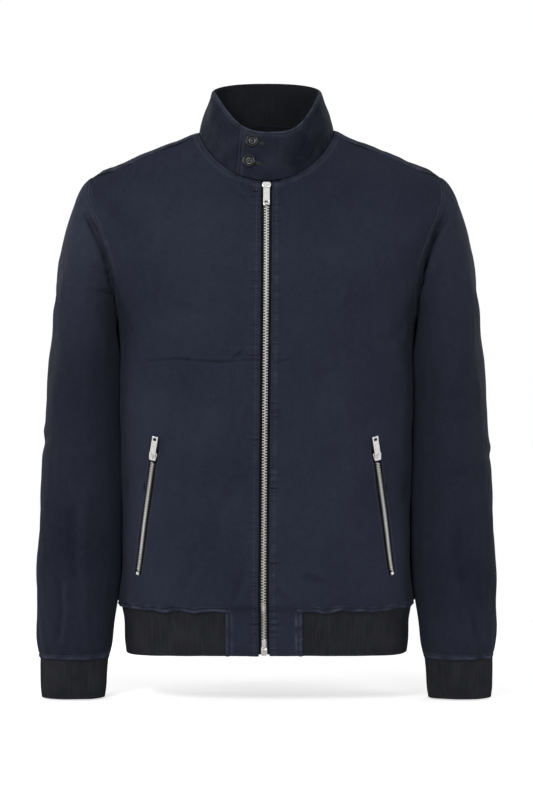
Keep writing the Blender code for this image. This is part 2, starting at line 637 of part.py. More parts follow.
def make_zip_strips(tape_material, teeth):
    """Tapes under both fronts and the chain between them, following the centre front."""
    rows = np.concatenate([[TAPE_FIRST_ROW], np.arange(1, 29), [TAPE_LAST_ROW]])
    arcs = np.broadcast_to([TAPE_INNER, 7.0, TAPE_OUTER], (len(rows), 3))
    tape = body_points(rows, arcs, "front", TAPE_SINK)
    faces = grid_faces(*tape.shape[:2])
    for name, strip in (("zip_tape_left", lean(tape)), ("zip_tape_right", lean(mirrored(tape)))):
        add(name, wall_mesh(name, strip.reshape(-1, 3), faces, TAPE), tape_material)

    rows = np.concatenate([[CHAIN_FIRST_ROW], np.arange(1, 29), [CHAIN_LAST_ROW]])
    half = body_points(rows, np.broadcast_to([0.0, CHAIN_HALF], (len(rows), 2)), "front")
    chain = lean(np.concatenate([half[:, :0:-1] * (-1, 1, 1), half], axis=1))
    chain = pull_outward(chain, CHAIN_RAISED)
    faces = grid_faces(*chain.shape[:2])
    add("zip_chain", wall_mesh("zip_chain", chain.reshape(-1, 3), faces, CHAIN_DEPTH), teeth)


def make_pocket_strips(name, side, tape_material, teeth):
    """Tape behind the pocket slot and the closed chain in it."""
    border = SLOT_HALF + SLOT_BORDER - 0.5
    middle_rows = np.arange(POCKET_TOP_ROW + 1, POCKET_END_ROW)
    strips = (
        ("tape", [POCKET_TOP_ROW - 0.2, POCKET_TOP_ROW, *middle_rows, POCKET_END_ROW,
                  POCKET_END_ROW + 0.2], (-border, -SLOT_HALF, SLOT_HALF, border),
         TAPE_SINK, TAPE, tape_material),
        ("chain", [POCKET_CHAIN_ROW, *middle_rows, POCKET_STOP_ROW - 0.06],
         (-POCKET_CHAIN_HALF, 0, POCKET_CHAIN_HALF), -CHAIN_RAISED, POCKET_CHAIN_DEPTH, teeth),
    )
    for kind, rows, across, sink, thickness, material in strips:
        arcs = pocket_arcs(rows)[:, None] + np.array(across)
        strip = body_points(rows, arcs, "front", sink)
        strip = lean(strip if side > 0 else mirrored(strip))
        faces = grid_faces(*strip.shape[:2])
        label = f"pocket_{kind}_{name}"
        add(label, wall_mesh(label, strip.reshape(-1, 3), faces, thickness), material)


def front_frame(row, side, pocket):
    """Point on the cloth and axes there: across, up along the zip, and outward."""
    rows = np.array([row, row + 0.02])
    arcs = pocket_arcs(rows)[:, None] if pocket else np.zeros((2, 1))
    arcs = arcs + np.array([0.0, 1.0])
    patch = body_points(rows, arcs, "front")
    if side < 0:
        patch = patch * (-1, 1, 1)
    patch = lean(patch)
    up = patch[0, 0] - patch[1, 0]
    right = (patch[0, 1] - patch[0, 0]) * side
    outward = np.cross(right, up)
    up, outward = up / np.linalg.norm(up), outward / np.linalg.norm(outward)
    return patch[0, 0], np.cross(up, outward), up, outward


def placed(piece, frame, height=0.0):
    """Puts a piece made in (across, up, outward) axes on the cloth, raised by height."""
    point, across, up, outward = frame
    turn = Matrix((across, up, outward)).transposed().to_4x4()
    piece.matrix_world = Matrix.Translation(Vector((point + height * outward) * MM)) @ turn
    return piece


def prism(name, outline, low, high):
    """A flat outline in the (across, up) plane, counter-clockwise, extruded outward."""
    shape = bmesh.new()
    base = shape.faces.new([shape.verts.new((x * MM, y * MM, low * MM)) for x, y in outline])
    base.normal_flip()
    grown = bmesh.ops.extrude_face_region(shape, geom=[base], use_keep_orig=True)
    top = [item for item in grown["geom"] if isinstance(item, bmesh.types.BMVert)]
    bmesh.ops.translate(shape, verts=top, vec=(0, 0, (high - low) * MM))
    bmesh.ops.recalc_face_normals(shape, faces=shape.faces)
    mesh = bpy.data.meshes.new(name)
    shape.to_mesh(mesh)
    shape.free()
    return mesh


def box_outline(x0, x1, y0, y1):
    return [(x0, y0), (x1, y0), (x1, y1), (x0, y1)]


def joined(piece, helpers):
    """Unites helper objects with the piece and hides them."""
    for helper in helpers:
        helper.hide_render = True
        helper.display_type = "WIRE"
        helper.matrix_world = piece.matrix_world
        union = piece.modifiers.new("join", "BOOLEAN")
        union.operation = "UNION"
        union.object = helper
    return piece


def make_slider(name, frame, core_depth, material):
    """Slider: tapered front plate, core between the tapes, and a strap over the pull's bar."""
    plate = [(-5.7, 3.6), (-5.0, -0.6), (-4.3, -4.4), (-3.4, -5.0), (3.4, -5.0), (4.3, -4.4),
             (5.0, -0.6), (5.7, 3.6), (4.9, 4.4), (-4.9, 4.4)]
    slider = add(name, prism(name, plate, PLATE_LOW, PLATE_HIGH), material)
    placed(slider, frame)
    low, high = AXIS_HEIGHT + AXIS_CLEAR, AXIS_HEIGHT + AXIS_CLEAR + STRAP
    half = STRAP_HALF
    shapes = (
        ("core", box_outline(-2.5, 2.5, -4.4, 3.9), -core_depth, PLATE_LOW + 0.5),
        ("post_low", box_outline(-half, half, -STRAP_OUTER, -STRAP_INNER), 1.5, low + 0.4),
        ("post_high", box_outline(-half, half, STRAP_INNER, STRAP_OUTER), 1.5, low + 0.4),
        ("strap", box_outline(-half, half, -STRAP_OUTER, STRAP_OUTER), low, high),
    )
    helpers = [add(f"{name}_{kind}", prism(kind, outline, bottom, top), material)
               for kind, outline, bottom, top in shapes]
    return joined(slider, helpers)


def make_pull(name, frame, length, points_up, material):
    """Pull tab: a bar under the slider's strap, two arms, a plate and a square eye at its end.
    Its origin is the middle of the bar, which is the axis that it swings about."""
    eye_half, eye_end = 2.2, length - 1.9
    across = [-PULL_HALF, -eye_half, -PULL_WINDOW_HALF, PULL_WINDOW_HALF, eye_half, PULL_HALF]
    down = [-PULL_BAR, PULL_BAR, PULL_WINDOW, eye_end - 3.4, eye_end, length]
    shape = bmesh.new()
    way = 1 if points_up else -1
    levels = []
    for height in (-PULL_THICK / 2, PULL_THICK / 2):
        levels.append([[shape.verts.new((x * MM, way * y * MM, height * MM)) for x in across]
                       for y in down])
    filled = np.ones((len(down) - 1, len(across) - 1), bool)
    filled[1, 2] = False
    filled[3, 1:4] = False

    def cell(level, r, c):
        return [level[r][c], level[r][c + 1], level[r + 1][c + 1], level[r + 1][c]]

    for r, c in np.argwhere(filled):
        shape.faces.new(cell(levels[0], r, c))
        shape.faces.new(cell(levels[1], r, c))
        for (dr, dc), (i, j) in (((-1, 0), (0, 1)), ((0, 1), (1, 2)), ((1, 0), (2, 3)),
                                 ((0, -1), (3, 0))):
            nr, nc = r + dr, c + dc
            inside = 0 <= nr < filled.shape[0] and 0 <= nc < filled.shape[1]
            if inside and filled[nr, nc]:
                continue
            low, high = cell(levels[0], r, c), cell(levels[1], r, c)
            shape.faces.new([low[i], low[j], high[j], high[i]])
    loose = [vert for vert in shape.verts if not vert.link_faces]
    bmesh.ops.delete(shape, geom=loose, context="VERTS")
    bmesh.ops.recalc_face_normals(shape, faces=shape.faces)
    mesh = bpy.data.meshes.new(name)
    shape.to_mesh(mesh)
    shape.free()
    return placed(add(name, mesh, material), frame, AXIS_HEIGHT)


def make_zips(tape_material, teeth, metal):
    make_zip_strips(tape_material, teeth)
    frame = front_frame(SLIDER_ROW, 1, False)
    make_slider("zip_slider", frame, 3.0, metal)
    make_pull("zip_pull", frame, 27.0, False, metal)
    box = add("zip_box", prism("zip_box", box_outline(-3.3, 3.3, -6.0, 0), -2.6, 0.9), metal)
    placed(box, front_frame(BOX_ROW, 1, False))
    for name, side in (("left", 1), ("right", -1)):
        make_pocket_strips(name, side, tape_material, teeth)
        frame = front_frame(POCKET_SLIDER_ROW, side, True)
        make_slider(f"pocket_slider_{name}", frame, 1.6, metal)
        make_pull(f"pocket_pull_{name}", frame, 25.0, True, metal)
        label = f"pocket_stop_{name}"
        stop = add(label, prism(label, box_outline(-2.4, 2.4, -3.6, 0), -1.6, 0.8), metal)
        placed(stop, front_frame(POCKET_STOP_ROW, side, True))


def button_mesh(name):
    """Turned button with a raised rim, centred on its axis."""
    shape = bmesh.new()
    outline = [shape.verts.new((r * MM, 0, z * MM)) for r, z in BUTTON_PROFILE]
    edges = [shape.edges.new(pair) for pair in zip(outline[:-1], outline[1:])]
    bmesh.ops.spin(shape, geom=outline + edges, axis=(0, 0, 1), cent=(0, 0, 0),
                   angle=math.tau, steps=24, use_merge=True)
    bmesh.ops.remove_doubles(shape, verts=shape.verts, dist=0.00001)
    bmesh.ops.recalc_face_normals(shape, faces=shape.faces)
    mesh = bpy.data.meshes.new(name)
    shape.to_mesh(mesh)
    shape.free()
    return mesh


def make_buttons(material):
    """Two buttons on the tab, found by their place across the front and their height on it."""
    length = neck_length()
    for name, x, height in (("button_upper", -17.9, 0.77), ("button_lower", -21.6, 0.345)):
        arcs = length + np.linspace(0, TAB_END, 60)
        line = collar_points(arcs, np.array([height]))[0]
        arc = np.interp(-x, -line[:, 0], arcs)
        spot = collar_points([arc - 0.5, arc + 0.5], np.array([height - 0.02, height + 0.02]))
        across = spot[0, 0] - spot[0, 1]
        up = spot[1, 0] - spot[0, 0]
        outward = np.cross(across, up)
        across, outward = across / np.linalg.norm(across), outward / np.linalg.norm(outward)
        frame = (spot.mean(axis=(0, 1)), across, np.cross(outward, across), outward)
        button = placed(add(name, button_mesh(name), material), frame, SEAM_GAP)
        for turn in range(4):
            angle = math.radians(45 + 90 * turn)
            place = BUTTON_HOLE_PLACE * np.array([math.cos(angle), math.sin(angle)])
            circle = [place + BUTTON_HOLE * np.array([math.cos(a), math.sin(a)])
                      for a in np.arange(10) * math.tau / 10]
            drill = add(f"{name}_drill_{turn}", prism("drill", circle, -1, 4), material)
            drill.matrix_world = button.matrix_world
            drill.hide_render = True
            drill.display_type = "WIRE"
            cut = button.modifiers.new("hole", "BOOLEAN")
            cut.operation = "DIFFERENCE"
            cut.object = drill


def main():
    for old in list(bpy.data.objects):
        bpy.data.objects.remove(old, do_unlink=True)
    shell = finish("shell_twill", SHELL_COLOUR, 0.85)
    rib = finish("rib_knit", RIB_COLOUR, 0.95)
    lining = finish("collar_knit", LINING_COLOUR, 0.95)
    tape = finish("zip_tape", TAPE_COLOUR, 0.8)
    teeth = finish("zip_teeth", TEETH_COLOUR, 0.4, 1.0)
    metal = finish("zip_metal", METAL_COLOUR, 0.28, 1.0)
    horn = finish("button", BUTTON_COLOUR, 0.3)
    make_shell(shell)
    make_hem_rib(rib)
    make_cuff("cuff_left", 1, rib)
    make_cuff("cuff_right", -1, rib)
    make_collar(shell, lining)
    make_zips(tape, teeth, metal)
    make_buttons(horn)


main()
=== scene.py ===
"""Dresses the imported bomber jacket: twill panels with their folds, seams and stitches, fine rib,
metal zips and turned buttons, on a pale floor in soft studio light.

Sizes are in millimetres until a mesh is made. The cloth follows the same three forms as the
solids: body, sleeve and collar, each worked out from a table of rings.
"""

import math
from types import SimpleNamespace

import bpy
import numpy as np
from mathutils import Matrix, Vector


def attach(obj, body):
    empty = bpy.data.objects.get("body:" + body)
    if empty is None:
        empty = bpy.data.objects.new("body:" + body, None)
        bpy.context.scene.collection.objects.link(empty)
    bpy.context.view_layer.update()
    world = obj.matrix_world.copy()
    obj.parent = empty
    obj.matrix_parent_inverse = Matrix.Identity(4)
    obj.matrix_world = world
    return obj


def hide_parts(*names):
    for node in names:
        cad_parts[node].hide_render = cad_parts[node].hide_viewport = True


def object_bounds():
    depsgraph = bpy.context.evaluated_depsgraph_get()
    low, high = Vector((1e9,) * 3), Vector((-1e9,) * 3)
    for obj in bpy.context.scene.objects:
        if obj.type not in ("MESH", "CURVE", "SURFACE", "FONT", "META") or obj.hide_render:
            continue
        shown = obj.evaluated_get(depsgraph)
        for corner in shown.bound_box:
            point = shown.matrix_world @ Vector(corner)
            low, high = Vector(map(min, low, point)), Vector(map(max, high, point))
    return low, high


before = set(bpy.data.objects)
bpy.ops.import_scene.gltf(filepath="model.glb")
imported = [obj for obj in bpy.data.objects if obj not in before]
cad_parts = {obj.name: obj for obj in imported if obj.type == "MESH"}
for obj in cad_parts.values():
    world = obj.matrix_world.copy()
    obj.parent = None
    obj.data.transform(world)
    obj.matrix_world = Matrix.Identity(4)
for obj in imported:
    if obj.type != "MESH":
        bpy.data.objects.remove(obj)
cad_low, cad_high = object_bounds()

MM = 0.001
TINY = 1e-9
STEPS = 720  # points worked out on each half ring before its columns are placed
SHOULDER_ROW, UNDERARM_ROW = 4, 14
POCKET_TOP_ROW, POCKET_END_ROW = 18, 22
HEM_ROW, BAND_END_ROW = 26, 29
SEAM_GAP, RIB_STEP = 0.3, 1.0
CLOTH, COLLAR_CLOTH, LINING, RIB, TAPE = 1.5, 1.6, 1.4, 2.5, 0.8
GROOVE_SHARP, GROOVE_SOFT = 0.35, 0.75  # cosine between a panel's normal and the seam's

ARMHOLE_HEIGHT, ARMHOLE_MIDDLE_Z = 92.85, -154.15
SHOULDER_SEAM_Y, SIDE_SEAM_Y = -14, -3
ARMHOLE_FRONT_DEPTH, ARMHOLE_BACK_DEPTH, ARMHOLE_POINT = 64, 78, 1.25

ZIP_GAP = 6.5  # from the middle of the zip to the edge of each front
ZIP_LEAN, LEAN_LENGTH, LEAN_DEPTH = -4.0, 590, 120  # drift of the opening, over which drop and depth
BLOCK_WIDTH = 48.0
POCKET_TOP_X, POCKET_END_X = 136.5, 158.5
SLOT_HALF, SLOT_BORDER = 5.5, 5.5


def named_columns(names, *rows):
    """A table as one array for each named column."""
    return {name: np.array(column, float) for name, column in zip(names, zip(*rows))}


# Rings of the body, from the neck seam (row 0) to the end of the rib (row 29).
BODY = named_columns(
    ("row", "front_y", "front_z", "back_y", "back_z", "side_y", "square", "drop"),
    (0, -83, -67, 56, 8, 2, 2.00, 1.4),
    (2, -99, -113, 80, -29, 3, 2.10, 1.4),
    (4, -112, -160, 98, -77, 4, 2.10, 1.4),
    (6, -117, -181, 107, -108, 3, 2.25, 1.8),
    (9, -123, -214, 116, -158, 1, 2.45, 1.9),
    (14, -125, -268, 120, -258, -3, 2.75, 2.0),
    (16, -124, -330, 116, -326, -4, 2.95, 2.0),
    (18, -122, -399, 111, -399, -5, 3.05, 2.0),
    (20, -121, -477.5, 110, -477.5, -5, 3.05, 2.0),
    (22, -121.5, -556, 113, -556, -5, 3.00, 2.0),
    (24, -121, -587, 115, -588, -5, 2.95, 2.0),
    (26, -115, -600, 109, -601, -5, 2.85, 2.0),
    (27, -112, -619, 106, -622, -5, 2.80, 2.0),
    (28, -111, -637, 105, -641, -5, 2.80, 2.0),
    (29, -108, -655, 102, -661, -5, 2.80, 2.0),
)
# Shoulder seam (rows 0 to 4), armhole (4 to 14) and side seam (from 14 down).
SEAM = named_columns(
    ("row", "front_x", "back_x", "z"),
    (0, 84.0, 84.0, -8),
    (2, 150.5, 150.5, -33.3),
    (3, 184.0, 184.0, -45.5),
    (4, 219.0, 219.0, -61.3),
    (5, 222.5, 222.0, -67),
    (6, 223.0, 222.5, -80),
    (7, 218.0, 219.5, -101),
    (8, 207.5, 212.0, -127),
    (9, 198.0, 204.0, -155),
    (10, 192.5, 197.0, -183),
    (12, 188.5, 189.5, -229),
    (14, 187.0, 187.0, -247),
    (15, 186.8, 186.8, -284),
    (16, 186.5, 186.5, -322),
    (18, 185.0, 185.0, -399),
    (20, 183.3, 183.3, -477.5),
    (22, 184.5, 184.5, -556),
    (24, 187.0, 187.0, -588),
    (25, 186.0, 186.0, -596),
    (26, 184.3, 184.3, -601),
    (27, 180.7, 180.7, -622),
    (28, 180.5, 180.5, -641),
    (29, 178.5, 178.5, -660),
)
CAP_ROWS, SLEEVE_EDGE_ROW, CUFF_END_ROW = 6, 20, 23
SLEEVE_COLUMNS = 2 * (UNDERARM_ROW - SHOULDER_ROW)
CAP_SPACING = (0, 0.045, 0.11, 0.22, 0.42, 0.70, 1.0)
CAP_OUT_LOW, CAP_OUT_TOP, CAP_DROP_TOP = 0.20, 0.48, -0.35
CAP_SPREAD, CAP_FLARE = 0.10, 0.15
SLEEVE_SQUARE, SLEEVE_CLEARANCE = 2.15, 0.8
# Rings of the sleeve below its cap, from the upper arm to the end of the cuff.
SLEEVE = named_columns(
    ("row", "z", "inner_x", "outer_x", "front_y", "back_y"),
    (6, -290, 177.0, 275.5, -88, 75),
    (8, -340, 177.0, 279.5, -86, 68),
    (10, -395, 177.5, 282.5, -84, 55),
    (12, -450, 178.0, 285.0, -83, 39),
    (14, -505, 178.5, 287.5, -83, 25),
    (16, -560, 181.5, 289.3, -82, 15),
    (17, -592, 187.0, 289.5, -81, 10),
    (18, -620, 191.5, 289.5, -79, 6),
    (19, -648, 194.5, 289.0, -75, 2),
    (20, -665, 198.5, 286.0, -69, -5),
    (21, -682, 200.5, 285.8, -67.5, -6.5),
    (22, -700, 201.5, 285.5, -66.5, -8),
    (23, -715, 203.5, 284.0, -64.5, -10),
)
DRAPE_FRONT, DRAPE_BACK, DRAPE_PLACE, DRAPE_WIDTH = 5.0, 1.5, 11.0, 7.0

COLLAR_TOP = {"half": 67.5, "front_y": -74, "back_y": 46, "side_y": -10, "side_z": 48,
              "front_z": -7, "back_z": 61, "square": 2.4, "front_drop": 2.2, "back_drop": 1.0,
              "lap_square": 2.75, "lap_drop": 1.75, "lap_fall": 1.6}
COLLAR_BULGE, COLLAR_SEAM_GAP, COLLAR_WALL = 1.0, 0.5, 1.8
TAB_OFFSET = 4.3
TAB_END, UNDER_END = 38.0, 12.0
TAB_RISE_START, TAB_RISE_END = 80.0, 18.0

TAPE_SINK, TAPE_INNER, TAPE_OUTER = 2.0, 3.5, 16.0
TAPE_WELT, TAPE_WELT_PITCH = 0.12, 3.1
CHAIN_FIRST_ROW, CHAIN_LAST_ROW = 0.47, 28.55
TAPE_FIRST_ROW, TAPE_LAST_ROW = 0.08, 28.9
POCKET_CHAIN_ROW, POCKET_STOP_ROW = 18.42, 21.84
TOOTH_PITCH, POCKET_TOOTH_PITCH, TOOTH_OVERLAP = 1.75, 1.6, 0.3
BUTTON_SCALE, BUTTON_HOLE, BUTTON_HOLE_PLACE, BUTTON_HOLE_DEPTH = 1.08, 0.9, 1.9, 1.5
BUTTONS = (("button_upper", -17.9, 0.77), ("button_lower", -21.6, 0.345))  # x, share of the height
BUTTON_RINGS = (0, 0.6, 1.0, 1.3, 1.6, 1.9, 2.2, 2.5, 2.8, 3.2,
                3.8, 4.4, 4.9, 5.4, 5.9, 6.3, 6.7, 7.1, 7.35, 7.5)
BUTTON_TOP = ((0, 1.5), (1.4, 1.5), (3.2, 1.1), (4.4, 1.4), (5.4, 2.7), (6.3, 3.2), (7.1, 2.7), (7.5, 1.8))
BUTTON_UNDER = ((7.35, 1.1), (6.8, 0.5), (6.0, 0.1), (3.0, 0.0), (0.0, 0.0))  # radius and height, as above
BUTTON_TURNS, THREAD_BAR, THREAD_RINGS = 96, 0.42, 7
HOLE_STITCHES, HOLE_LENGTH, HOLE_OFFSET = 44, 9.5, 11.0
HOLE_INNER, HOLE_OUTER = (0.2, 1.0), (1.5, 0.75)  # distance from the slit and height at each stitch's ends

# Sewing: distances of the stitch lines from the edges beside them.
ZIP_STITCH, HEM_STITCH, BLOCK_STITCH, SLOT_STITCH = 6.0, 6.0, 6.0, 1.7
NECK_STITCHES, ARMHOLE_STITCHES, SHOULDER_STITCHES = (1.8, 7.5), (1.6, 8.2), (1.8, 8.0)
COLLAR_STITCH, CUFF_STITCH = 4.5, 6.0
STITCH_PITCH, STITCH_GAP, THREAD = 2.7, 0.7, 0.26
HEM_SWAY = 1.2  # how far the hem wanders up and down over the rib
SHOULDER_SINK, CAP_SINK = 3.5, 3.0  # how far the shoulder and the sleeve cap settle
SLEEVE_SLIM = 3.5  # how far the sleeve draws back where its front meets the body
SLEEVE_PRESS = 0.5  # how far the hanging sleeve presses on the body
SLEEVE_TROUGH = 1.8  # depth of the trough beside the front of the armhole
FOLD_FULLNESS = 2.2
SHOULDER_ROUNDS = 90  # how often the shoulder point's crease is averaged away
SIDE_STITCH, TAB_STITCH = 1.6, 5.3
STITCH_SHAPE = named_columns(
    ("share", "radius", "height"),  # along the stitch, of the thread's radius, above the cloth
    (0.00, 0.35, -0.15),
    (0.28, 1.00, 0.18),
    (0.72, 1.00, 0.18),
    (1.00, 0.35, -0.15),
)

# Relief of sewn edges: heights, and the widths over which they rise or fall.
ROLL_WIDTH, LIFT_SLOPE = 0.8, 2.4
NEEDLE_GROOVE, NEEDLE_WIDTH = 0.4, 0.8
PUCKER_SIZE, PUCKER_PATCH = 8.0, 60.0
NECK_LIFT, ZIP_LIFT, SEAM_LIFT = 0.3, 0.45, 0.5
ZIP_PUCKER, ZIP_PUCKER_SIZE, ZIP_PUCKER_PATCH = 0.9, 6.5, 70.0
ARMHOLE_PUCKER, ARMHOLE_ROLL = 0.22, 0.7
TAB_PRESS, TAB_SHADOW = 1.3, 0.6  # how far the front sinks under the collar's tab, and how dark the painted shadow is there
UNDER_TAB_RIGHT, UNDER_TAB_LEFT = 52, 22  # how far from the zip the tab covers the neck seam
WELT_LIFT, WELT_EDGE, WELT_GROOVE, WELT_PUCKER = 0.35, 0.8, 0.3, 0.2
HEM_ROLL, HEM_GROOVE, HEM_RIDGE, HEM_PUCKER, HEM_END = 0.75, 1.25, 0.55, 0.5, 1.1
GATHER_SIZE, HEM_GATHER, SLEEVE_GATHER = 17.0, 0.95, 0.5
BLOCK_ROLL, BLOCK_GROOVE, BLOCK_PUCKER, BLOCK_END = 0.7, 1.1, 0.9, 0.9
BESIDE_STITCH = 1.1  # from a line of stitches to the ridges on both sides of it, which wear pale
ZIP_WORN, ARMHOLE_WORN, BACK_ARMHOLE_WORN = 0.10, 0.22, 0.28
HEM_WORN, BLOCK_WORN, SLEEVE_WORN_END = 0.85, 0.75, 0.6
TOUCH_DROP, TOUCH_FADE = 225, 30  # how far down the sleeve first meets the body
COMMON_SEED = 5  # the same for every panel, so that its folds cross the seams

# Columns beside an edge, closest at the edge itself and at its lines of stitches.
ZIP_COLUMNS = (0, 0.6, 1.2, 2.0, 3.2, 4.4, 5.3, 6.0, 6.7, 7.6, 9.0)
BLOCK_COLUMNS = (0, 0.6, 1.2, 2.0, 3.4, 4.6, 5.3, 6.0, 6.7, 7.6)
SLOT_COLUMNS = (0, 0.6, 1.1, 1.7, 2.3, 3.2, 5.5)
SEAM_COLUMNS = (0, 0.6, 1.1, 1.6, 2.2, 3.2, 5.0, 6.6, 7.4, 8.2, 9.0, 10.5)
COLLAR_ROWS = (0, 0.5, 1.0, 1.7, 2.6, 3.7, 4.5, 5.3, 6.4)
FRONT_STEP, BACK_STEP, COLLAR_STEP = 3.4, 3.6, 2.2

RIB_PITCH, RIB_DEPTH, RIB_COLUMNS = 2.2, 0.24, 4
RIB_TUCK = 3.5  # how far the hem rib reaches under the blocks
RIB_END = np.array([-2.4, -1.2, -0.6, -0.2, 0.0])  # rows close to a rib's rounded end
BAND_ROW_LENGTH, CUFF_ROW_LENGTH = 18.0, 17.0

# Soft folds, each a line in millimetres, its depth and its width. Fronts and back are given
# across and up as seen from their own face, sleeves likewise for each of their sides.
FOLD_FADE, FOLD_RIDGE, FOLD_RIDGE_PLACE = 0.7, 0.75, 1.6
VIEWS = {  # coordinates across and up, their signs, and the way that the view's side faces
    "front": ((0, 2), (1, 1), (0.0, -1.0, 0.0)),
    "back": ((0, 2), (-1, 1), (0.0, 1.0, 0.0)),
    "outer": ((1, 2), (1, 1), (1.0, 0.0, 0.0)),
}
FOLDS = {
    "front_right": (
        (((-165, -296), (-140, -290), (-110, -287), (-80, -290), (-48, -291), (-6, -288)), 0.85, 2.0),
        (((-44, -289), (-32, -281), (-24, -272)), 0.6, 2.1),
        (((-122, -218), (-98, -226), (-76, -238)), 0.9, 7.0),
        (((-36, -64), (-22, -72), (-8, -86)), 1.0, 2.6),
        (((-46, -72), (-30, -84), (-16, -98)), 0.6, 3.0),
        (((-22, -548), (-30, -570), (-40, -594)), 1.2, 4.5),
        (((-70, -520), (-92, -560), (-104, -592)), 0.8, 6.0),
        (((-60, -330), (-84, -380), (-96, -450)), 0.9, 12.0),
        (((-176, -236), (-160, -270), (-152, -318)), 1.2, 7.0),
        (((-28, -430), (-52, -470), (-62, -520)), 0.7, 9.0),
        (((-150, -90), (-140, -130), (-146, -170)), 0.8, 10.0),
    ),
    "front_left": (
        (((12, -566), (22, -578), (36, -594)), 1.1, 4.0),
        (((44, -552), (62, -558), (84, -572)), 0.8, 4.5),
        (((156, -186), (160, -212), (166, -240)), 1.1, 6.0),
        (((162, -298), (168, -322), (166, -350)), 1.0, 6.0),
        (((8, -289), (22, -290), (34, -287)), 0.6, 2.4),
        (((45, -262), (46, -284), (44, -304)), 0.5, 5.0),
        (((30, -70), (18, -80), (8, -94)), 0.6, 2.8),
        (((74, -340), (88, -400), (92, -460)), 0.8, 12.0),
        (((176, -240), (158, -262), (136, -276)), 0.9, 7.0),
        (((60, -150), (76, -190), (84, -236)), 0.7, 12.0),
    ),
    "back": (
        (((-150, -120), (-120, -170), (-108, -240)), 1.4, 12.0),
        (((148, -118), (124, -176), (112, -250)), 1.2, 12.0),
        (((-172, -262), (-130, -280), (-80, -288)), 1.2, 8.0),
        (((172, -270), (134, -292), (92, -304)), 1.3, 8.0),
        (((-60, -60), (0, -72), (58, -58)), 0.8, 9.0),
        (((-90, -520), (-60, -556), (-52, -590)), 1.1, 9.0),
        (((70, -500), (88, -550), (86, -592)), 1.2, 9.0),
        (((10, -430), (-6, -500), (6, -580)), 0.8, 12.0),
        (((-150, -400), (-128, -440), (-120, -500)), 1.0, 11.0),
        (((150, -420), (138, -470), (126, -520)), 0.8, 11.0),
    ),
}
SLEEVE_FOLDS = {
    "sleeve_right": {
        "front": (
            (((-234, -94), (-204, -140), (-192, -178), (-186, -222)), 1.9, 4.2),
            (((-216, -170), (-202, -178), (-186, -186)), 1.2, 3.2),
            (((-224, -199), (-206, -205), (-186, -208)), 1.2, 3.4),
            (((-270, -300), (-236, -322), (-196, -330)), 1.2, 7.0),
            (((-196, -384), (-222, -398), (-256, -396)), 1.1, 7.0),
            (((-236, -450), (-240, -530), (-232, -600)), 1.9, 7.5),
            (((-258, -560), (-256, -600), (-260, -646)), 1.6, 4.5),
            (((-214, -590), (-218, -622), (-214, -652)), 1.3, 4.0),
        ),
        "back": (
            (((196, -200), (226, -232), (258, -250)), 1.4, 7.0),
            (((200, -360), (232, -384), (268, -380)), 1.4, 7.0),
            (((204, -410), (236, -426), (266, -420)), 1.1, 6.0),
            (((240, -500), (236, -560), (244, -620)), 0.9, 9.0),
        ),
        "outer": (
            (((-60, -150), (-20, -210), (20, -280)), 0.9, 14.0),
            (((-70, -380), (-30, -396), (30, -382)), 0.8, 8.0),
            (((-50, -520), (-36, -580), (-44, -640)), 0.7, 8.0),
        ),
    },
    "sleeve_left": {
        "front": (
            (((234, -92), (208, -136), (195, -176), (186, -220)), 1.8, 4.2),
            (((218, -180), (204, -189), (186, -198)), 1.1, 3.3),
            (((268, -320), (238, -338), (200, -340)), 1.2, 7.0),
            (((262, -420), (236, -436), (198, -430)), 1.1, 7.0),
            (((244, -460), (240, -540), (248, -610)), 1.7, 7.5),
            (((262, -580), (258, -618), (264, -650)), 1.3, 4.5),
            (((220, -596), (224, -626), (218, -652)), 0.9, 4.0),
        ),
        "back": (
            (((-196, -206), (-224, -240), (-256, -262)), 1.3, 7.0),
            (((-200, -350), (-236, -372), (-266, -366)), 1.3, 7.0),
            (((-206, -404), (-238, -418), (-264, -410)), 1.1, 6.0),
            (((-240, -510), (-244, -560), (-236, -630)), 0.9, 9.0),
        ),
        "outer": (
            (((-50, -160), (-10, -220), (26, -300)), 0.8, 14.0),
            (((-66, -400), (-24, -414), (34, -400)), 0.8, 8.0),
        ),
    },
}
COLLAR_FOLDS = (
    (((70, -6), (59, -26), (50, -48)), 0.8, 3.2),
    (((57, 4), (49, -18), (41, -40)), 0.6, 3.0),
    (((36, -4), (29, -22), (26, -44)), 0.5, 2.8),
    (((12, -12), (14, -30), (12, -50)), 0.45, 2.4),
    (((-72, -4), (-62, -24), (-50, -44)), 0.5, 4.0),
    (((-52, 2), (-46, -18), (-36, -34)), 0.4, 3.0),
)

NAVY, NAVY_WORN = (0.0119, 0.0139, 0.0262), (0.052, 0.0585, 0.0865)
# Painted shade: the sleeves are the body's twill, dyed darker here to stand for the shade that they hang in.
SLEEVE_SHADED_NAVY, SLEEVE_SHADED_FADED = (0.0085, 0.0100, 0.0192), (0.047, 0.053, 0.079)
# Painted shade: the collar is the body's twill too, dyed darker here for the shade it lies in.
COLLAR_SHADED_NAVY, COLLAR_SHADED_FADED = (0.0078, 0.0092, 0.0172), (0.045, 0.050, 0.072)
RIB_COLOUR, RIB_LIGHT = (0.0112, 0.0117, 0.0150), (0.0340, 0.0345, 0.0400)
LINING_COLOUR, LINING_LIGHT = (0.0105, 0.0110, 0.0140), (0.022, 0.023, 0.028)
TAPE_COLOUR, TAPE_LIGHT = (0.0060, 0.0060, 0.0070), (0.013, 0.013, 0.015)
NICKEL, TEETH_METAL = (0.82, 0.81, 0.79), (0.80, 0.79, 0.76)
BUTTON_COLOUR, THREAD_COLOUR = (0.006, 0.0063, 0.0072), (0.020, 0.022, 0.034)
HOLE_THREAD = (0.032, 0.034, 0.038)
FLOOR_COLOUR, FLOOR_GLOW = (0.80, 0.80, 0.80), 0.57
FLOOR_RADIUS, FLOOR_FADE_START, FLOOR_FADE_END = 1.6, 0.45, 1.15
WORLD_LIGHT, MIRRORED_LIGHT = 0.17, 0.75
TWILL_SLOPE = 1.7
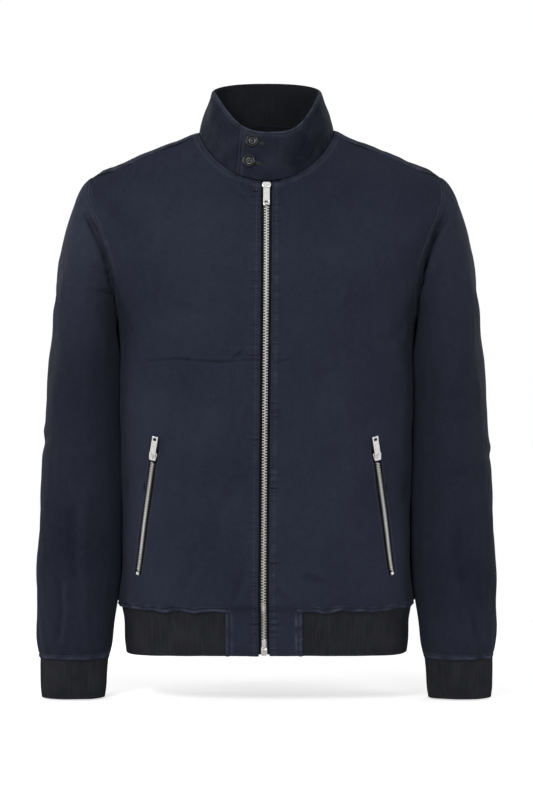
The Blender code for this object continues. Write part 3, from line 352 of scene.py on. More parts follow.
TWILL_PITCH, TAPE_PITCH, KNIT_PITCH = 0.0011, 0.0016, 0.0022  # in metres, as are the bump depths
TWILL_BUMP, TAPE_BUMP, KNIT_BUMP, METAL_BUMP = 0.00016, 0.0002, 0.00035, 0.00005
CLOTH_FINISH = {"Roughness": 0.86, "Specular_IOR_Level": 0.04, "Sheen_Weight": 0.02, "Sheen_Roughness": 0.5}

PHOTO_HEIGHT = 800
PIXEL = 1.27
VIEW_DISTANCE, VIEW_ELEVATION, VIEW_HEIGHT = 3.6, 2.5, -0.3423
FLOOR_DROP, FLOOR_SIDES = 0.0012, 96
LIGHTS = (  # name, place in metres, size in metres, power in watts
    ("key softbox", (-0.9, -1.75, 0.85), 0.6, 25.0),
    ("fill softbox", (0.8, -1.95, -0.1), 0.9, 13.0),
    ("left edge light", (-2.4, -0.5, 0.1), 1.2, 19.0),
    ("right edge light", (2.4, -0.5, 0.0), 1.2, 13.5),
    ("over", (0.0, 0.3, 2.6), 1.2, 4.0),
    ("left back softbox", (-1.5, 2.2, 0.6), 1.0, 20.0),
    ("right back softbox", (1.5, 2.2, 0.2), 1.0, 15.0),
)


# ---- forms

def smooth(table, name, at):
    """The column's value at rows `at`, on a cubic through the table that never overshoots it:
    the slope at a row is the harmonic mean of its two neighbours' slopes where they agree."""
    row, value = table["row"], table[name]
    step, rise = np.diff(row), np.diff(value)
    slope = rise / step
    before, after = slope[:-1], slope[1:]
    agree = before * after > 0
    inner = np.where(agree, 2 * before * after / np.where(agree, before + after, 1), 0)
    slopes = np.concatenate([slope[:1], inner, slope[-1:]])
    i = np.clip(np.searchsorted(row, at, side="right") - 1, 0, len(step) - 1)
    t = (at - row[i]) / step[i]
    bend = slopes[i] * (t**3 - 2 * t**2 + t) + slopes[i + 1] * (t**3 - t**2)
    return value[i] + rise[i] * (3 * t**2 - 2 * t**3) + step[i] * bend


def ease(t):
    """Smooth step from 0 to 1."""
    t = np.clip(t, 0, 1)
    return t * t * (3 - 2 * t)


def bell(t):
    """1 at 0, falling off as exp(-t^2)."""
    return np.exp(-t**2)


def peak(distance, place, width):
    """1 at a place, falling off on both sides over about a width."""
    return bell((distance - place) / width)


def until(distance, end, fade):
    """0 past the end, rising to 1 at `fade` before it."""
    return ease((end - distance) / fade)


def past(distance, start, fade):
    """0 before the start, rising to 1 at `fade` past it."""
    return ease((distance - start) / fade)


def unit(vectors):
    """Vectors scaled to length 1."""
    return vectors / np.linalg.norm(vectors, axis=-1, keepdims=True)


def travelled(line):
    """Distance travelled along a line of points, from its first."""
    return np.append(0, np.cumsum(np.linalg.norm(np.diff(line, axis=0), axis=1)))


def closed_up(grid):
    """A grid with its first column again after its last."""
    return np.concatenate([grid, grid[:, :1]], axis=1)


def seam_points(rows, face):
    """Shoulder seam, armhole and side seam of the front or the back, at x > 0.
    Round the armhole y = line between the seams -/+ depth * sin(angle)^point, angle 0 at the
    shoulder, and its height is that of a circle."""
    angle = math.pi * np.clip((rows - SHOULDER_ROW) / (UNDERARM_ROW - SHOULDER_ROW), 0, 1)
    depth = -ARMHOLE_FRONT_DEPTH if face == "front" else ARMHOLE_BACK_DEPTH
    y = SHOULDER_SEAM_Y + (SIDE_SEAM_Y - SHOULDER_SEAM_Y) * angle / math.pi
    y = y + depth * np.sin(angle) ** ARMHOLE_POINT
    y = np.where(rows <= SHOULDER_ROW, SHOULDER_SEAM_Y + (SHOULDER_ROW - rows) / 2, y)
    y = np.where(rows > UNDERARM_ROW, np.maximum(SIDE_SEAM_Y - (rows - UNDERARM_ROW) / 2, -5), y)
    inside = (rows > SHOULDER_ROW) & (rows < UNDERARM_ROW)
    z = np.where(inside, ARMHOLE_MIDDLE_Z + ARMHOLE_HEIGHT * np.cos(angle), smooth(SEAM, "z", rows))
    return np.stack([smooth(SEAM, face + "_x", rows), y, z], axis=-1)


def half_rings(rows, face):
    """Half rings of the body at x > 0, from the centre of the face round to the other centre.
    x = half * sin^(2/n), y = side_y -/+ depth * cos^(2/n), z = side_z + (centre_z - side_z) * cos^drop,
    where half and side_z are such that the ring meets the face's seam.
    Returns the points (row, step, xyz), each point's arc from the centre, and the seam's arc."""
    rows = np.asarray(rows, float)
    size = {name: smooth(BODY, name, rows)[:, None] for name in BODY if name != "row"}
    seam = seam_points(rows, face)
    seam_x, seam_y, seam_z = (seam[:, i, None] for i in range(3))
    ahead = seam_y < size["side_y"]
    depth = np.where(ahead, size["side_y"] - size["front_y"], size["back_y"] - size["side_y"])
    reach = np.abs(seam_y - size["side_y"]) / depth
    half = seam_x / (1 - reach ** size["square"]) ** (1 / size["square"])
    centre_z = np.where(ahead, size["front_z"], size["back_z"])
    fall = reach ** (size["square"] / 2 * size["drop"])
    side_z = (seam_z - centre_z * fall) / (1 - fall)

    quarter = np.pi / 4 * (1 - np.cos(np.pi * np.arange(STEPS + 1) / STEPS))
    turn = np.concatenate([quarter, np.pi / 2 + quarter[1:]])[None]
    front = turn < np.pi / 2 if face == "front" else turn > np.pi / 2
    cos = np.abs(np.cos(turn))
    x = half * np.sin(turn) ** (2 / size["square"])
    y = size["side_y"] + cos ** (2 / size["square"]) * np.where(
        front, size["front_y"] - size["side_y"], size["back_y"] - size["side_y"])
    z = side_z + cos ** size["drop"] * (np.where(front, size["front_z"], size["back_z"]) - side_z)
    curve = np.stack([x, y, z], axis=-1)
    pieces = np.linalg.norm(np.diff(curve, axis=1), axis=2)
    arc = np.concatenate([np.zeros((len(rows), 1)), np.cumsum(pieces, axis=1)], axis=1)
    travel = np.abs(y - y[:, :1])
    seam_arc = read_rows(arc[..., None], travel, np.abs(seam_y - y[:, :1]))[..., 0]
    return curve, arc, seam_arc


def read_rows(curves, key, wanted):
    """Each row's curve read where that row's rising key has the wanted values."""
    low, span = key[:, :1], np.ptp(key, axis=1)[:, None]
    shift = 2 * np.arange(len(key))[:, None]
    known = ((key - low) / span + shift).ravel()
    asked = (np.clip((wanted - low) / span, 0, 1) + shift).ravel()
    flat = curves.reshape(-1, curves.shape[-1])
    read = np.stack([np.interp(asked, known, flat[:, i]) for i in range(flat.shape[1])], axis=-1)
    return read.reshape(wanted.shape + (flat.shape[1],))


def lean(points):
    """The front opening drifts sideways by ZIP_LEAN from neck to hem, and the sides stay."""
    down = ease((BODY["front_z"][0] - points[..., 2]) / LEAN_LENGTH)
    ahead = np.clip((SIDE_SEAM_Y - points[..., 1]) / LEAN_DEPTH, 0, 1) ** 2
    leaned = points.copy()
    leaned[..., 0] += ZIP_LEAN * down * ahead
    return leaned


def body_points(rows, arcs, face):
    """Points of the body at x > 0, before the lean, at arcs (row, column) from the face's centre."""
    curve, arc, _ = half_rings(rows, face)
    return read_rows(curve, arc, arcs)


def pocket_arcs(rows):
    """Arc of the middle of the pocket slot, a straight slanted line carried on above and below."""
    key_rows = np.array([POCKET_TOP_ROW, POCKET_END_ROW], float)
    curve, arc, seam_arc = half_rings(key_rows, "front")
    ends = np.array([[POCKET_TOP_X], [POCKET_END_X]])
    quarter = slice(0, STEPS)
    at = read_rows(arc[:, quarter, None], curve[:, quarter, 0], ends)[:, 0, 0]
    part = at / seam_arc[:, 0]
    rows = np.asarray(rows, float)
    inside = np.interp(rows, key_rows, at)
    share = np.interp(rows, [0, POCKET_TOP_ROW, POCKET_END_ROW], [0.54, part[0], part[1]])
    whole = half_rings(rows, "front")[2][:, 0]
    between = (rows >= POCKET_TOP_ROW) & (rows <= POCKET_END_ROW)
    return np.where(between, inside, share * whole)


def body_half_width(y, z):
    """Half width of the body at depth y, below the underarm."""
    low = SEAM["row"] >= UNDERARM_ROW
    row = np.interp(-z, -SEAM["z"][low], SEAM["row"][low])
    size = {name: smooth(BODY, name, row) for name in ("side_y", "front_y", "back_y", "square")}
    ahead = y < size["side_y"]
    depth = np.where(ahead, size["side_y"] - size["front_y"], size["back_y"] - size["side_y"])
    reach = np.clip(np.abs(y - size["side_y"]) / depth, 0, 0.999)
    return smooth(SEAM, "front_x", row) * (1 - reach ** size["square"]) ** (1 / size["square"])


def sleeve_ring(rows, angles):
    """Sections of the sleeve below the cap: flattened ellipses, angle 0 at the inner side,
    90 degrees at the front, pushed off the side of the body."""
    size = {name: smooth(SLEEVE, name, rows)[:, None] for name in SLEEVE if name != "row"}
    power = 2 / SLEEVE_SQUARE
    cos, sin = np.cos(angles), np.sin(angles)
    x = (size["inner_x"] + size["outer_x"]) / 2
    x = x - (size["outer_x"] - size["inner_x"]) / 2 * np.sign(cos) * np.abs(cos) ** power
    y = (size["front_y"] + size["back_y"]) / 2
    y = y - (size["back_y"] - size["front_y"]) / 2 * np.sign(sin) * np.abs(sin) ** power
    z = np.broadcast_to(size["z"], y.shape)
    limit = body_half_width(y, z) + SLEEVE_CLEARANCE
    x = (x + limit + np.sqrt((x - limit) ** 2 + 1)) / 2
    return np.stack([x, y, z], axis=-1)


def armhole_loop(places):
    """Armhole points: place 0 at the underarm, up the front to the shoulder, down the back."""
    half = SLEEVE_COLUMNS / 2
    front = seam_points(UNDERARM_ROW - places, "front")
    back = seam_points(SHOULDER_ROW + places - half, "back")
    return np.where((places <= half)[:, None], front, back)


def sleeve_points(rows, places):
    """The sleeve at x > 0: the cap is a cubic from each armhole point to the upper-arm ring,
    with a soft trough beside the seam at front and back, and rings follow below it."""
    dense = np.linspace(0, SLEEVE_COLUMNS, 401)
    loop = armhole_loop(np.append(dense[:-1], 0))
    length = travelled(loop)
    middle = length[len(dense) // 2]
    turn = np.where(length < middle, length / middle, 1 + (length - middle) / (length[-1] - middle))
    angles = np.interp(places, dense, turn * np.pi)

    start = armhole_loop(places)
    upper_arm = sleeve_ring(np.array([float(CAP_ROWS)]), angles[None])[0]
    reach = np.linalg.norm(upper_arm - start, axis=1)[:, None]
    top = (1 - np.cos(angles))[:, None] / 2
    side = np.sin(angles)[:, None]
    outward = CAP_OUT_LOW + (CAP_OUT_TOP - CAP_OUT_LOW) * top
    leave = reach * np.concatenate([outward, -CAP_SPREAD * side, CAP_DROP_TOP * top - (1 - top)], axis=1)
    arrive = reach * np.concatenate([CAP_FLARE * top, 0 * side, -1 - 0.2 * top], axis=1)

    t = np.interp(np.clip(rows, 0, CAP_ROWS), np.arange(CAP_ROWS + 1), CAP_SPACING)[:, None, None]
    cap = ((2 * t**3 - 3 * t**2 + 1) * start + (t**3 - 2 * t**2 + t) * leave
           + (3 * t**2 - 2 * t**3) * upper_arm + (t**3 - t**2) * arrive)
    along = t[..., 0] * reach[:, 0]
    depth = np.where(side[:, 0] > 0, DRAPE_FRONT, DRAPE_BACK) * side[:, 0] ** 2
    fold = depth * bell((along - DRAPE_PLACE) / DRAPE_WIDTH) * ease(along / DRAPE_PLACE)
    cap[..., 1] += fold * np.sign(side[:, 0])
    cap[..., 0] -= fold / 2
    arm = sleeve_ring(np.maximum(rows, CAP_ROWS), np.broadcast_to(angles, (len(rows), len(places))))
    return np.where((rows < CAP_ROWS)[:, None, None], cap, arm)


def neck_loop():
    """Neck seam as a closed dense loop: centre front, wearer's right, back, left, centre front."""
    left = half_rings([0.0], "front")[0][0]
    right = left * (-1, 1, 1)
    loop = np.concatenate([right, left[-2::-1]])
    loop[:, 2] += COLLAR_SEAM_GAP
    return loop


def collar_top_loop():
    """Upper edge of the collar, with the same turns as the neck seam: a squarish ellipse
    whose height follows |cos|^drop between the sides and the front or back."""
    top = COLLAR_TOP
    turn = np.linspace(0, 2 * np.pi, 721)
    cos, sin = np.cos(turn), np.sin(turn)
    lapped = (cos > 0) & (sin < 0)
    power = 2 / np.where(lapped, top["lap_square"], top["square"])
    depth = np.where(cos > 0, top["side_y"] - top["front_y"], top["back_y"] - top["side_y"])
    rise = np.where(cos > 0, top["front_z"], top["back_z"]) - top["side_z"]
    drop = np.where(lapped, top["lap_drop"], np.where(cos > 0, top["front_drop"], top["back_drop"]))
    x = -top["half"] * np.sign(sin) * np.abs(sin) ** power
    fall = top["lap_fall"] * bell((x - 34) / 20) * ease(x / 20) * lapped
    return np.stack([x, top["side_y"] - depth * np.sign(cos) * np.abs(cos) ** power,
                     top["side_z"] + rise * np.abs(cos) ** drop - fall], axis=-1)


def by_length(loop, parts):
    """A closed loop read at parts of its length, 0 and 1 both at its start."""
    length = travelled(loop)
    at = np.mod(parts, 1) * length[-1]
    return np.stack([np.interp(at, length, loop[:, i]) for i in range(3)], axis=-1)


NECK, COLLAR_EDGE = neck_loop(), collar_top_loop()
NECK_LENGTH = travelled(NECK)[-1]


def tab_rise(arcs):
    """0 on the under end of the collar, 1 where its last stretch lies over it."""
    return past(arcs, NECK_LENGTH - TAB_RISE_START, TAB_RISE_START - TAB_RISE_END)


def collar_points(arcs, heights, sink=0.0):
    """The collar: arcs along the neck seam from the centre front, the wearer's right first,
    heights 0 at the seam and 1 at the top. The last stretch rises outward to lap as a tab."""
    def plain(arc, height):
        low, high = by_length(NECK, arc / NECK_LENGTH), by_length(COLLAR_EDGE, arc / NECK_LENGTH)
        return low + (high - low) * height[..., None]

    arc, height = np.meshgrid(arcs, heights)
    here = plain(arc, height)
    across = plain(arc + 1, height) - plain(arc - 1, height)
    outward = np.cross(plain(arc, height + 0.05) - plain(arc, height - 0.05), across)
    out = COLLAR_BULGE * np.sin(np.pi * height) + TAB_OFFSET * tab_rise(arc) - sink
    return here + unit(outward) * out[..., None]


# ---- grids

def grid_faces(rows, columns, keep=None, closed=False):
    """Four-cornered faces of a grid of points, facing down x right, as rows of point numbers."""
    cells = columns if closed else columns - 1
    r, c = np.meshgrid(np.arange(rows - 1), np.arange(cells), indexing="ij")
    right = (c + 1) % columns
    faces = np.stack([r * columns + c, (r + 1) * columns + c,
                      (r + 1) * columns + right, r * columns + right], axis=-1)
    return faces.reshape(-1, 4) if keep is None else faces[keep]


def point_normals(points, faces):
    """Unit normals at the points, each the mean of its faces' normals."""
    corners = points[faces]
    normals = np.cross(corners[:, 2] - corners[:, 0], corners[:, 3] - corners[:, 1])
    total = np.zeros_like(points)
    for corner in range(4):
        np.add.at(total, faces[:, corner], normals)
    return total / np.maximum(np.linalg.norm(total, axis=1, keepdims=True), 1e-9)


def grid_normals(points, closed=False):
    """Unit normals at the points of a grid."""
    faces = grid_faces(*points.shape[:2], closed=closed)
    return point_normals(points.reshape(-1, 3), faces).reshape(points.shape)


def run_lengths(points, axis):
    """Distance travelled along a grid's rows or columns, from its first point."""
    steps = np.linalg.norm(np.diff(points, axis=axis), axis=2)
    start = np.zeros_like(np.take(steps, [0], axis=axis))
    return np.concatenate([start, np.cumsum(steps, axis=axis)], axis=axis)


def cut_rows(lines, step):
    """Whole rows cut into equal parts, none longer than that row's step on any of the lines."""
    length = np.linalg.norm(np.diff(lines, axis=1), axis=2).max(axis=0)
    counts = np.maximum(1, np.ceil(length / step)).astype(int)
    whole = np.repeat(np.arange(len(counts)), counts)
    part = np.arange(counts.sum()) - np.repeat(np.cumsum(counts) - counts, counts)
    return np.append(whole + part / counts[whole], len(counts))


def body_row_list():
    """Rows of the body fine enough for its folds, finest at the neck and at the hem's edge."""
    whole = np.arange(BAND_END_ROW + 1.0)
    front, back = half_rings(whole, "front")[0][:, 0], half_rings(whole, "back")[0][:, 0]
    step = np.full(BAND_END_ROW, 2.3)
    step[:1] = 1.5
    step[UNDERARM_ROW] = 1.3
    step[HEM_ROW - 2:HEM_ROW] = 1.4
    return cut_rows(np.stack([front, back, seam_points(whole, "front")]), step)


BODY_ROWS = body_row_list()


def column_arcs(marks, step):
    """Arcs of a grid's columns. Marks are (arcs of all rows, distances before it, distances
    after it), rising, and the stretches between them are cut evenly."""
    columns = []
    for (start, _, after), (end, before, _) in zip(marks[:-1], marks[1:]):
        first, last = start + after[-1], end - before[-1]
        count = max(1, int(np.ceil((last - first).max() / step)))
        columns += [start + distance for distance in after]
        columns += [first + (last - first) * part / count for part in range(1, count)]
        columns += [end - distance for distance in before[::-1]]
    return np.stack(columns + [marks[-1][0]], axis=1)


def waves(place, size, seed, count=6):
    """Smooth uneven height between about -1 and 1: sine waves with seeded directions, lengths
    near `size` and phases, summed. The place is a length along something, or a point."""
    draw = np.random.default_rng(seed)
    place = np.asarray(place, float)
    if place.ndim and place.shape[-1] == 3:
        ways = draw.normal(size=(3, count))
        ways /= np.linalg.norm(ways, axis=0)
        place = place @ ways
    else:
        place = place[..., None]
    lengths = size * draw.uniform(0.6, 1.7, count)
    phase = draw.uniform(0, 2 * np.pi, count)
    return np.sin(place / lengths * 2 * np.pi + phase).sum(axis=-1) / math.sqrt(count)


def fold_relief(place, folds):
    """Soft folds in a flat view: along each line a trough as deep as its depth, with a lower
    ridge on its left side. Depth swells from nothing at the ends to full in the middle."""
    relief = np.zeros(place.shape[:-1])
    for line, depth, width in folds:
        line = np.array(line, float)
        run = travelled(line)
        gap = np.full(relief.shape, np.inf)
        side, share = np.zeros_like(relief), np.zeros_like(relief)
        for start, end, before, after in zip(line[:-1], line[1:], run[:-1], run[1:]):
            along = (end - start) / (after - before)
            t = np.clip((place - start) @ along, 0, after - before)
            away = place - start - t[..., None] * along
            distance = np.linalg.norm(away, axis=-1)
            nearer = distance < gap
            gap = np.where(nearer, distance, gap)
            side = np.where(nearer, np.sign(along[0] * away[..., 1] - along[1] * away[..., 0]), side)
            share = np.where(nearer, (before + t) / run[-1], share)
        fade = np.sin(np.pi * share) ** FOLD_FADE
        uneven = 1 + 0.25 * waves(share * run[-1], 30.0, int(abs(line[0, 0]) + abs(line[0, 1])))
        across = FOLD_RIDGE * bell(side * gap / width - FOLD_RIDGE_PLACE) - bell(gap / width)
        relief += FOLD_FULLNESS * depth * fade * uneven * across
    return relief


def edge_relief(distance, along, seed, lines=(), lift=0.0, width=0.0, pucker=0.3, roll=0.9):
    """Height beside a sewn edge: rolled down at the edge itself, raised over the folded cloth
    as far as `width`, grooved under each line of stitches and puckered across them."""
    relief = -roll * bell(distance / ROLL_WIDTH)
    if lift:
        relief = relief + lift * until(distance, width + LIFT_SLOPE / 2, LIFT_SLOPE)
    for line in lines:
        relief = relief - NEEDLE_GROOVE * peak(distance, line, NEEDLE_WIDTH)
    if lines:
        reach = max(lines)
        drawn = waves(along, PUCKER_SIZE, seed) * (0.6 + 0.5 * waves(along, PUCKER_PATCH, seed + 1))
        relief = relief + pucker * drawn * peak(distance, 0.7 * reach, 0.8 * reach)
    return relief


# ---- meshes

def make_mesh(name, vertices, faces, material, corner_uv=None, worn=None, sharp=50):
    """One piece: vertices in millimetres, flat maps in millimetres, and each point's paleness from fading,
    with painted light and painted shade added in places.
    """
    mesh = bpy.data.meshes.new(name)
    mesh.vertices.add(len(vertices))
    mesh.vertices.foreach_set("co", (vertices * MM).astype(np.float32).ravel())
    mesh.loops.add(faces.size)
    mesh.loops.foreach_set("vertex_index", faces.astype(np.int32).ravel())
    mesh.polygons.add(len(faces))
    mesh.polygons.foreach_set("loop_start", np.arange(0, faces.size, faces.shape[1], dtype=np.int32))
    mesh.update(calc_edges=True)
    if corner_uv is not None:
        layer = mesh.uv_layers.new(name="cloth_map")
        layer.uv.foreach_set("vector", (corner_uv * MM).astype(np.float32).ravel())
    if worn is not None:
        layer = mesh.attributes.new("worn", "FLOAT", "POINT")
        layer.data.foreach_set("value", worn.astype(np.float32))
    mesh.validate()
    mesh.shade_smooth()
    mesh.set_sharp_from_angle(angle=math.radians(sharp))
    mesh.materials.append(material)
    piece = bpy.data.objects.new(name, mesh)
    bpy.context.scene.collection.objects.link(piece)
    return piece


def carried(piece, nodes=(), body="jacket"):
    """The piece rides on a body and stands for the nodes, which it hides."""
    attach(piece, body)
    if nodes:
        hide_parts(*nodes)
    return piece


def cloth_wall(name, panel, side, material, thickness, sharp=50):
    """A closed wall from a panel: its outer side, an inner side below it, and the rims. Points
    at x < 0 for side -1, with the faces turned to point outward again."""
    points, normals = to_side(panel["points"], panel["normals"], side, panel.get("leans", False))
    rows, columns = points.shape[:2]
    closed, keep = panel.get("closed", False), panel.get("keep")
    faces = grid_faces(rows, columns, keep, closed)
    round_, down = panel["round"], panel["down"]
    width = round_.shape[1]
    flat_uv = np.stack([round_, np.broadcast_to(down, round_.shape)], axis=-1).reshape(-1, 2)
    corner_uv = flat_uv[grid_faces(rows, width, keep)]
    if side < 0:
        faces, corner_uv = faces[:, ::-1], corner_uv[:, ::-1]
    used, faces = np.unique(faces, return_inverse=True)
    faces = faces.reshape(-1, 4)
    outer, outward = points.reshape(-1, 3)[used], normals.reshape(-1, 3)[used]
    below = len(outer)
    start, end = faces.ravel(), np.roll(faces, -1, axis=1).ravel()
    key = np.minimum(start, end) * below + np.maximum(start, end)
    _, first, count = np.unique(key, return_index=True, return_counts=True)
    rim = first[count == 1]
    a, b = start[rim], end[rim]
    uv_a, uv_b = corner_uv.reshape(-1, 2)[rim], np.roll(corner_uv, -1, axis=1).reshape(-1, 2)[rim]
    rims = np.stack([b, a, a + below, b + below], axis=1)
    all_faces = np.concatenate([faces, faces[:, [0, 3, 2, 1]] + below, rims])
    all_uv = np.concatenate([corner_uv, corner_uv[:, [0, 3, 2, 1]],
                             np.stack([uv_b, uv_a, uv_a, uv_b], axis=1)])
    worn = panel.get("worn", np.zeros(points.shape[:2])).reshape(-1)[used]
    vertices = np.concatenate([outer, outer - thickness * outward])
    return make_mesh(name, vertices, all_faces, material, all_uv.reshape(-1, 2),
                     np.concatenate([worn, worn * 0]), sharp)


def to_side(points, normals, side, leans):
    """Points and normals brought to the wearer's left (1) or right (-1), and leaned if asked."""
    points, normals = points * (side, 1, 1), normals * (side, 1, 1)
    return (lean(points) if leans else points), normals


def line_across(panel, key, value, rows=slice(None)):
    """The panel's points and normals where a key that changes along its rows has one value."""
    both = np.concatenate([panel["points"], panel["normals"]], axis=-1)[rows]
    key = np.broadcast_to(key, panel["points"].shape[:2])[rows]
    line = read_rows(both, key, np.broadcast_to(np.reshape(value, (-1, 1)), (len(key), 1)))[:, 0]
    return line[:, :3], line[:, 3:]


def line_down(panel, key, value, columns=slice(None)):
    """The same where a key that rises down the panel's columns has one value."""
    turned = {name: panel[name].transpose(1, 0, 2) for name in ("points", "normals")}
    return line_across(turned, np.broadcast_to(key, panel["points"].shape[:2]).T, value, columns)


def tube_faces(rings, sides, cap):
    """Faces of a tube of rings, closed at both ends by the faces of a cap."""
    cap = np.array(cap)
    tube = grid_faces(rings, sides, closed=True)
    return np.concatenate([tube, cap, cap[:, ::-1] + sides * (rings - 1)])


def make_tubes(name, lines, circle, cap, material):
    """Tubes round two lines of points, as one piece: a circle is set about each point."""
    shapes = [(line[:, None] + circle).reshape(-1, 3) for line in lines]
    tube = tube_faces(len(lines[0]), circle.shape[-2], cap)
    faces = np.concatenate([tube, tube + len(shapes[0])])
    return carried(make_mesh(name, np.concatenate(shapes), faces, material))


def stitch_shapes(line, outward):
    """Thread along a line as short raised stitches: each is a four-sided tube with thin ends
    that dip below the cloth and a full middle that lies on it."""
    run = travelled(line)
    count = int(run[-1] / STITCH_PITCH)
    length = STITCH_PITCH - STITCH_GAP
    at = np.arange(count)[:, None] * STITCH_PITCH + STITCH_SHAPE["share"] * length + STITCH_GAP / 2
    centre = np.stack([np.interp(at, run, line[:, i]) for i in range(3)], axis=-1)
    normal = unit(np.stack([np.interp(at, run, outward[:, i]) for i in range(3)], axis=-1))
    across = unit(np.cross(normal, (centre[:, -1] - centre[:, 0])[:, None]))
    middle = (centre + normal * STITCH_SHAPE["height"][:, None])[:, :, None]
    ring = np.stack([normal, across, -normal, -across], axis=2)
    vertices = (middle + ring * THREAD * STITCH_SHAPE["radius"][:, None, None]).reshape(-1, 3)
    faces = tube_faces(4, 4, [[0, 1, 2, 3]])[None] + 16 * np.arange(count)[:, None, None]
    return vertices, faces.reshape(-1, 4)


def sew(name, panel, side, lines, material):
    """All stitches of one panel as one piece."""
    vertices, faces, total = [], [], 0
    for points, normals in lines:
        points, normals = to_side(points, normals, side, panel.get("leans", False))
        shape, tube = stitch_shapes(points, normals)
        vertices.append(shape)
        faces.append(tube + total)
        total += len(shape)
    piece = make_mesh(name, np.concatenate(vertices), np.concatenate(faces), material)
    return carried(piece)


# ---- materials

def add_node(tree, kind, settings=None, **inputs):
    """A shader node with its settings, and inputs that are values or other nodes' outputs."""
    made = tree.nodes.new("ShaderNode" + kind)
    for name, value in (settings or {}).items():
        setattr(made, name, value)
    for name, value in inputs.items():
        socket = made.inputs[int(name[1:]) if name[0] == "_" else name.replace("_", " ")]
        if isinstance(value, bpy.types.NodeSocket):
            tree.links.new(value, socket)
        else:
            socket.default_value = value
    return made


def math_node(tree, operation, first, second=0.0):
    """One sum on values or other nodes' outputs."""
    return add_node(tree, "Math", {"operation": operation}, _0=first, _1=second).outputs[0]


def product(tree, first, second):
    """Two values or outputs multiplied."""
    return math_node(tree, "MULTIPLY", first, second)


def added(tree, first, second):
    """Two values or outputs added."""
    return math_node(tree, "ADD", first, second)


def scaled(tree, value, factor, offset):
    """The value times a factor, plus an offset."""
    return add_node(tree, "Math", {"operation": "MULTIPLY_ADD"}, _0=value, _1=factor, _2=offset).outputs[0]


def ranged(tree, value, low, high, to_low, to_high):
    """A value between low and high, spread evenly between two other values."""
    return add_node(tree, "MapRange", Value=value, _1=low, _2=high, _3=to_low, _4=to_high).outputs[0]


def mix_colours(tree, factor, first, second):
    """The first colour where the factor is 0, the second where it is 1."""
    return add_node(tree, "Mix", {"data_type": "RGBA"}, _0=factor, _6=first, _7=second).outputs[2]


def new_group(name, inputs, outputs):
    """An empty shader group with named sockets, its input node's outputs and its output node."""
    tree = bpy.data.node_groups.new(name, "ShaderNodeTree")
    kinds = {"colour": "NodeSocketColor", "value": "NodeSocketFloat"}
    for label, kind, value in inputs:
        socket = tree.interface.new_socket(label, in_out="INPUT", socket_type=kinds[kind])
        socket.default_value = value
    for label, kind in outputs:
        tree.interface.new_socket(label, in_out="OUTPUT", socket_type=kinds[kind])
    given = tree.nodes.new("NodeGroupInput").outputs
    result = tree.nodes.new("NodeGroupOutput").inputs
    return tree, given, result


def rgba(colour):
    """The colour with full opacity."""
    return (*colour, 1.0)


def uv_lengths(tree):
    """The cloth map's two lengths, round and down, in metres."""
    split = add_node(tree, "SeparateXYZ", _0=add_node(tree, "TexCoord").outputs["UV"])
    return split.outputs["X"], split.outputs["Y"]


def noise_value(tree, scale, detail=2.0, roughness=0.5, vector=None):
    """Noise over the object's own coordinates, or over a given place."""
    place = add_node(tree, "TexCoord").outputs["Object"] if vector is None else vector
    noise = add_node(tree, "TexNoise", Vector=place, Scale=scale, Detail=detail, Roughness=roughness)
    return noise.outputs["Fac"]


def drawn_noise(tree, across, down, across_scale, down_scale, detail, roughness):
    """Noise drawn out along one of the cloth map's two lengths."""
    place = add_node(tree, "CombineXYZ", X=product(tree, across, across_scale),
                     Y=product(tree, down, down_scale)).outputs[0]
    return noise_value(tree, 1.0, detail, roughness, place)


def turns_of(tree, length, pitch):
    """A length as an angle, one whole turn in each pitch."""
    return product(tree, math_node(tree, "DIVIDE", length, pitch), math.tau)


def make_twill_group():
    """Garment-dyed twill: fine diagonal weave, slubs, cloudy dye, and paler where it has faded or where the
    attribute paints light, darker where it paints shade.
    Paleness is the sum of noise at four sizes and of the attribute for fading and painted light and shade,
    and mixes the two colours."""
    tree, given, result = new_group(
        "cotton_twill",
        (("Dye", "colour", rgba(NAVY)), ("Worn", "colour", rgba(NAVY_WORN)), ("Weave", "value", 0.001)),
        (("Color", "colour"), ("Height", "value")))
    across, down = uv_lengths(tree)
    diagonal = added(tree, across, product(tree, down, TWILL_SLOPE))
    weave = scaled(tree, math_node(tree, "SINE", turns_of(tree, diagonal, given["Weave"])), 0.5, 0.5)
    grain = noise_value(tree, 420.0, 2.0, 0.6)
    worn = add_node(tree, "Attribute", {"attribute_name": "worn"}).outputs["Fac"]
    wear_and_shade_term = product(tree, worn, scaled(tree, noise_value(tree, 160.0, 3.0, 0.7), 1.3, 0.5))
    cloud = ranged(tree, noise_value(tree, 9.0, 3.0, 0.5), 0.3, 0.7, 0.13, 0.28)
    patch = ranged(tree, noise_value(tree, 105.0, 3.0, 0.6), 0.3, 0.7, -0.03, 0.03)
    slub = ranged(tree, drawn_noise(tree, across, down, 60.0, 900.0, 2.0, 0.5), 0.3, 0.75, -0.04, 0.05)
    pale = added(tree, cloud, patch)
    for part in (ranged(tree, grain, 0.3, 0.7, -0.045, 0.055), slub, wear_and_shade_term):
        pale = added(tree, pale, part)
    pale = add_node(tree, "Clamp", Value=pale).outputs[0]
    tree.links.new(mix_colours(tree, pale, given["Dye"], given["Worn"]), result["Color"])
    tree.links.new(added(tree, weave, product(tree, grain, 0.8)), result["Height"])
    return tree


